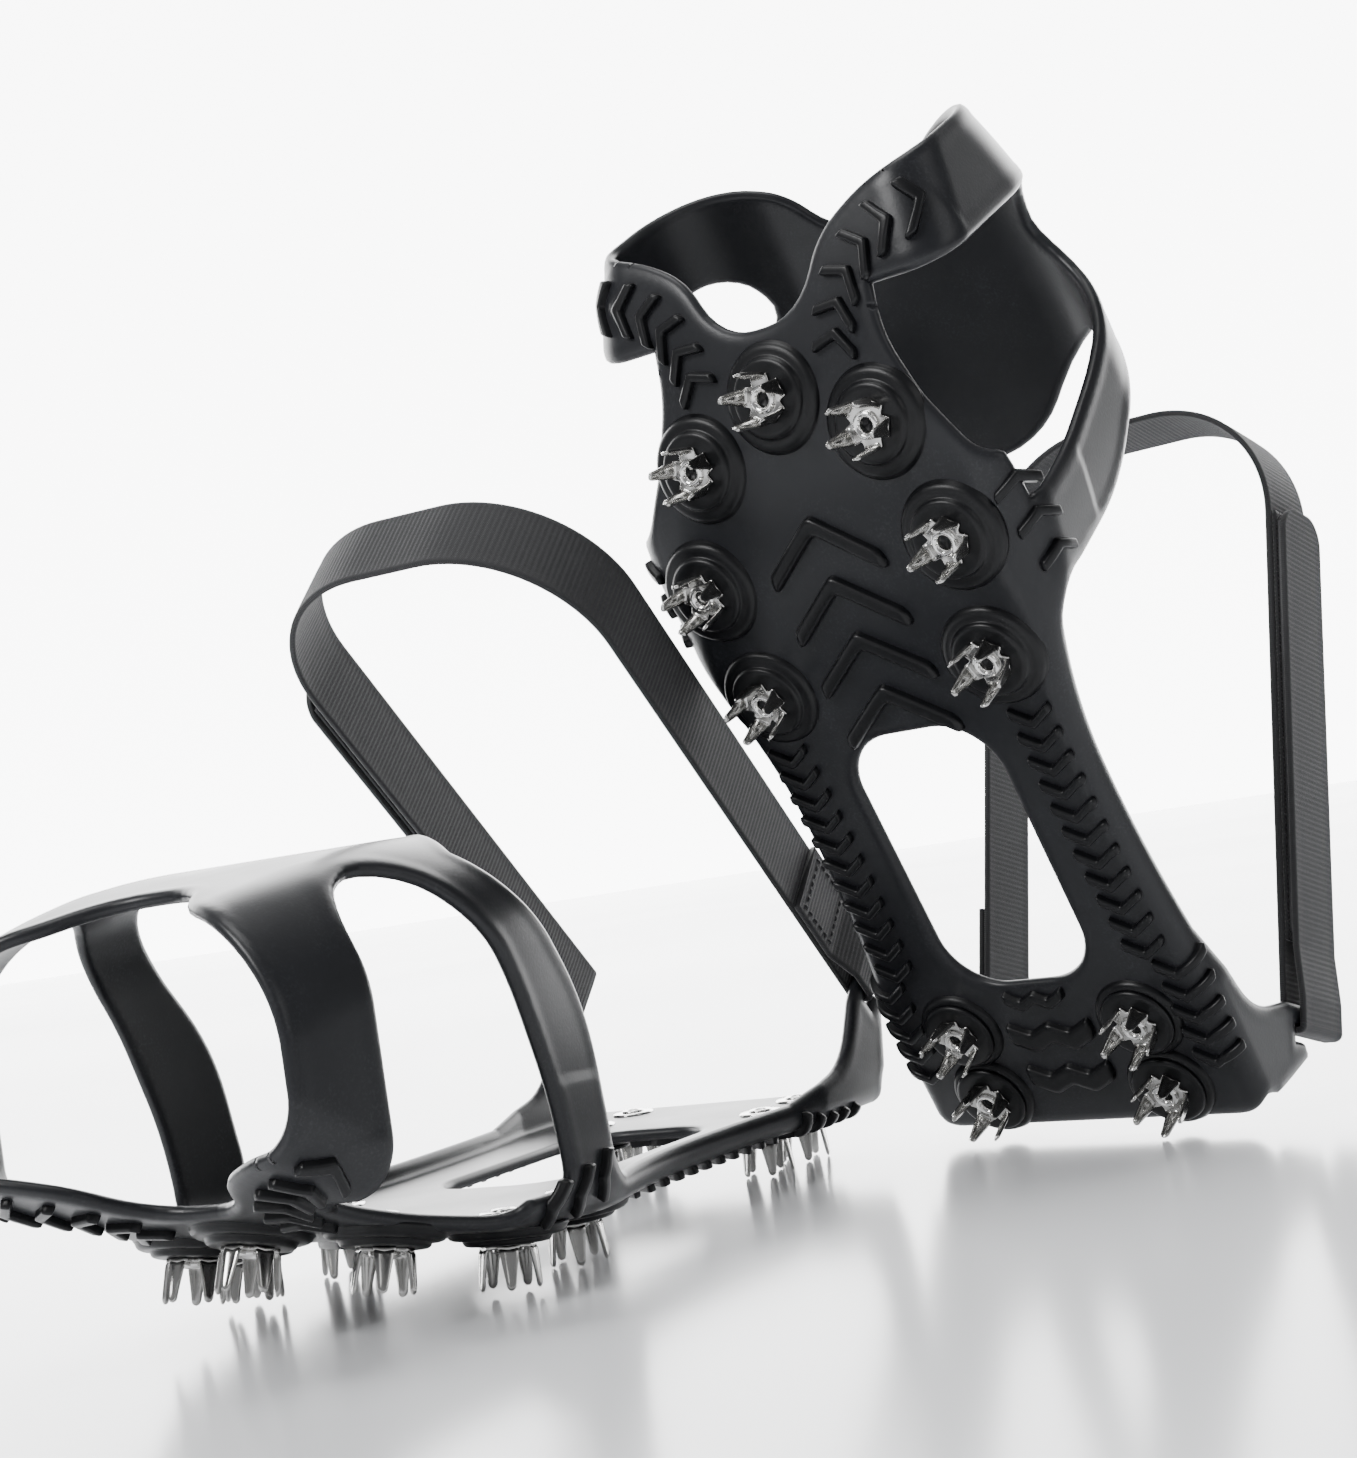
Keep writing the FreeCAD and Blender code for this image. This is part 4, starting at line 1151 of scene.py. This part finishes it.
class ICECLEATS_OT_strap(bpy.types.Operator):
    """Ribbed webbing strap, its fold round the ear's bar, and the stitched tail"""
    bl_idname = "icecleats.strap"
    bl_label = "Ankle strap"
    bl_options = {"REGISTER", "UNDO"}

    def execute(self, context):
        sizes = ready_sizes(context)
        width, thick = sizes.webbing_width / MM, sizes.webbing_thickness / MM
        for side, out in SIDES.items():
            build_piece(side, "ankle_strap", webbing(strap_corners(out), width, thick, sizes.rib_depth),
                        "black_webbing", ["strap"])
            points, faces, uv = webbing(fold_corners(out), width, thick, sizes.rib_depth)
            fold = add_mesh(side + "_strap_fold", to_frame(points, side), faces,
                            MATERIALS["black_webbing"], uv)
            ends = np.array([[out * (LAYER_OUT - 1.0), FOLD - 0.2, 0.0],
                             [out * (LAYER_OUT + 0.4), FOLD + 1.4, 0.0]])
            ends = to_frame(strap_to_cleat(*ends.T), side)
            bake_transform(fold)
            build_piece(side, "tail_stitches", stitch_field(out), "black_thread",
                        ["tail_stitching"])
        return {"FINISHED"}


class ICECLEATS_OT_tapes(bpy.types.Operator):
    """Loop tape with its pile, hook tape with its hooks, and the folded-back flap"""
    bl_idname = "icecleats.tapes"
    bl_label = "Flap and tapes"
    bl_options = {"REGISTER", "UNDO"}

    def execute(self, context):
        sizes = ready_sizes(context)
        width, thick = sizes.webbing_width / MM, sizes.webbing_thickness / MM
        for side, out in SIDES.items():
            flap = webbing(flap_corners(out), width, thick, sizes.rib_depth, round_end=7.0)
            build_piece(side, "strap_flap", flap, "black_webbing", ["flap"], "flap")
            for name, lane, low, high, field, body in (
                    ("loop", LAYER_IN + TAPE_RISE, 16.0, 127.0, loop_field, "cleat"),
                    ("hook", FLAP_LANE - TAPE_RISE, 18.0, 124.0, hook_field, "flap")):
                ends = [(out * lane, low, 0), (out * lane, high, 0)]
                band = webbing(ends, width - 2, TAPE_THICK, 0.0, pitch=1.0)
                build_piece(side, name + "_band", gather([band, field(out)]), name + "_tape",
                            [name + "_tape"], body)
        return {"FINISHED"}


class ICECLEATS_OT_stage(bpy.types.Operator):
    """Pale glossy floor, soft studio light and the camera"""
    bl_idname = "icecleats.stage"
    bl_label = "Stage"
    bl_options = {"REGISTER", "UNDO"}

    def execute(self, context):
        ready_sizes(context)
        stage = context.scene.ice_cleat_stage
        half, lines, drop = 6.0, 13, 0.0002
        span = np.linspace(-half, half, lines)
        x, y = np.meshgrid(span, span, indexing="ij")
        points = np.stack([x, y, np.full(x.shape, -drop)], axis=-1).reshape(-1, 3)
        floor = add_mesh("studio_floor", points, [grid_faces(lines, lines)[:, ::-1]], MATERIALS["floor"])
        ahead = np.array([math.sin(stage.heading), math.cos(stage.heading), 0.0])
        across = np.array([ahead[1], -ahead[0], 0.0])
        away, foot, top = 4.0, -0.001, 4.0
        corners = [ahead * away + across * side * half + np.array([0, 0, high]) for side in (-1, 1)
                   for high in (foot, top)]
        backdrop = add_mesh("studio_backdrop", np.array(corners), [np.array([[0, 2, 3, 1]])],
                            MATERIALS["backdrop"], smooth=False)
        world = bpy.data.worlds.new("studio_room")
        context.scene.world = world
        world.use_nodes = True
        world.node_tree.nodes["Background"].inputs["Color"].default_value = (0.97, 0.98, 1.0, 1)
        world.node_tree.nodes["Background"].inputs["Strength"].default_value = stage.sky
        middle = Vector((0.0, 0.0, 0.1))
        for label, place, size, power in (
                ("key_softbox", (-0.45, -1.0, 0.85), 0.45, stage.key_power),
                ("overhead_softbox", (-0.1, -0.2, 1.7), 0.9, stage.fill_power * 2),
                ("right_softbox", (1.4, -0.5, 0.7), 0.8, stage.fill_power * 0.5),
                ("rear_softbox", (0.3, 1.5, 1.3), 1.1, stage.fill_power)):
            lamp = bpy.data.lights.new(label, "AREA")
            lamp.shape, lamp.size, lamp.energy = "SQUARE", size, power
            holder = bpy.data.objects.new(label, lamp)
            holder.matrix_world = aim_matrix(Vector(place), (middle - Vector(place)).normalized())
            context.scene.collection.objects.link(holder)
        lens = bpy.data.cameras.new("view_camera")
        lens.sensor_fit, lens.sensor_width, lens.lens = "HORIZONTAL", 36.0, stage.focal
        lens.clip_start, lens.clip_end = 0.01, 50.0
        camera = bpy.data.objects.new("view_camera", lens)
        ahead = Vector((math.cos(stage.pitch) * math.sin(stage.heading),
                        math.cos(stage.pitch) * math.cos(stage.heading), math.sin(stage.pitch)))
        camera.matrix_world = aim_matrix(Vector(stage.camera_place), ahead, stage.roll)
        context.scene.collection.objects.link(camera)
        context.scene.camera = camera
        return {"FINISHED"}


def aim_matrix(place, ahead, roll=0.0):
    """Matrix of a camera or lamp at place that looks along ahead, turned about it by roll."""
    right = ahead.cross(Vector((0, 0, 1))).normalized()
    up = right.cross(ahead)
    side = math.cos(roll) * right + math.sin(roll) * up
    top = -math.sin(roll) * right + math.cos(roll) * up
    turn = Matrix((side, top, -ahead)).transposed().to_4x4()
    turn.translation = place
    return turn


class ICECLEATS_PT_panel(bpy.types.Panel):
    """Sidebar list of the pieces"""
    bl_idname = "ICECLEATS_PT_panel"
    bl_label = "Ice Cleats"
    bl_space_type = "VIEW_3D"
    bl_region_type = "UI"
    bl_category = "Ice Cleats"

    def draw(self, context):
        for group in (context.scene.ice_cleat_sizes, context.scene.ice_cleat_stage):
            for name in group.__annotations__:
                self.layout.prop(group, name)
        for operator in OPERATORS:
            self.layout.operator(operator.bl_idname)


OPERATORS = (ICECLEATS_OT_web, ICECLEATS_OT_tread, ICECLEATS_OT_stars, ICECLEATS_OT_rivets,
             ICECLEATS_OT_strap, ICECLEATS_OT_tapes, ICECLEATS_OT_stage)
CLASSES = (IceCleatSizes, IceCleatStage) + OPERATORS + (ICECLEATS_PT_panel,)


def register():
    """Registers the settings, operators and panel, and hangs the settings on the scene."""
    for cls in CLASSES:
        bpy.utils.register_class(cls)
    bpy.types.Scene.ice_cleat_sizes = bpy.props.PointerProperty(type=IceCleatSizes)
    bpy.types.Scene.ice_cleat_stage = bpy.props.PointerProperty(type=IceCleatStage)


def unregister():
    """Takes the settings off the scene and unregisters every class."""
    del bpy.types.Scene.ice_cleat_stage
    del bpy.types.Scene.ice_cleat_sizes
    for cls in reversed(CLASSES):
        bpy.utils.unregister_class(cls)


def main():
    """Builds the pair and its stage."""
    register()
    bpy.ops.icecleats.web()
    bpy.ops.icecleats.tread()
    bpy.ops.icecleats.stars()
    bpy.ops.icecleats.rivets()
    bpy.ops.icecleats.strap()
    bpy.ops.icecleats.tapes()
    bpy.ops.icecleats.stage()


if __name__ == "__main__":
    main()
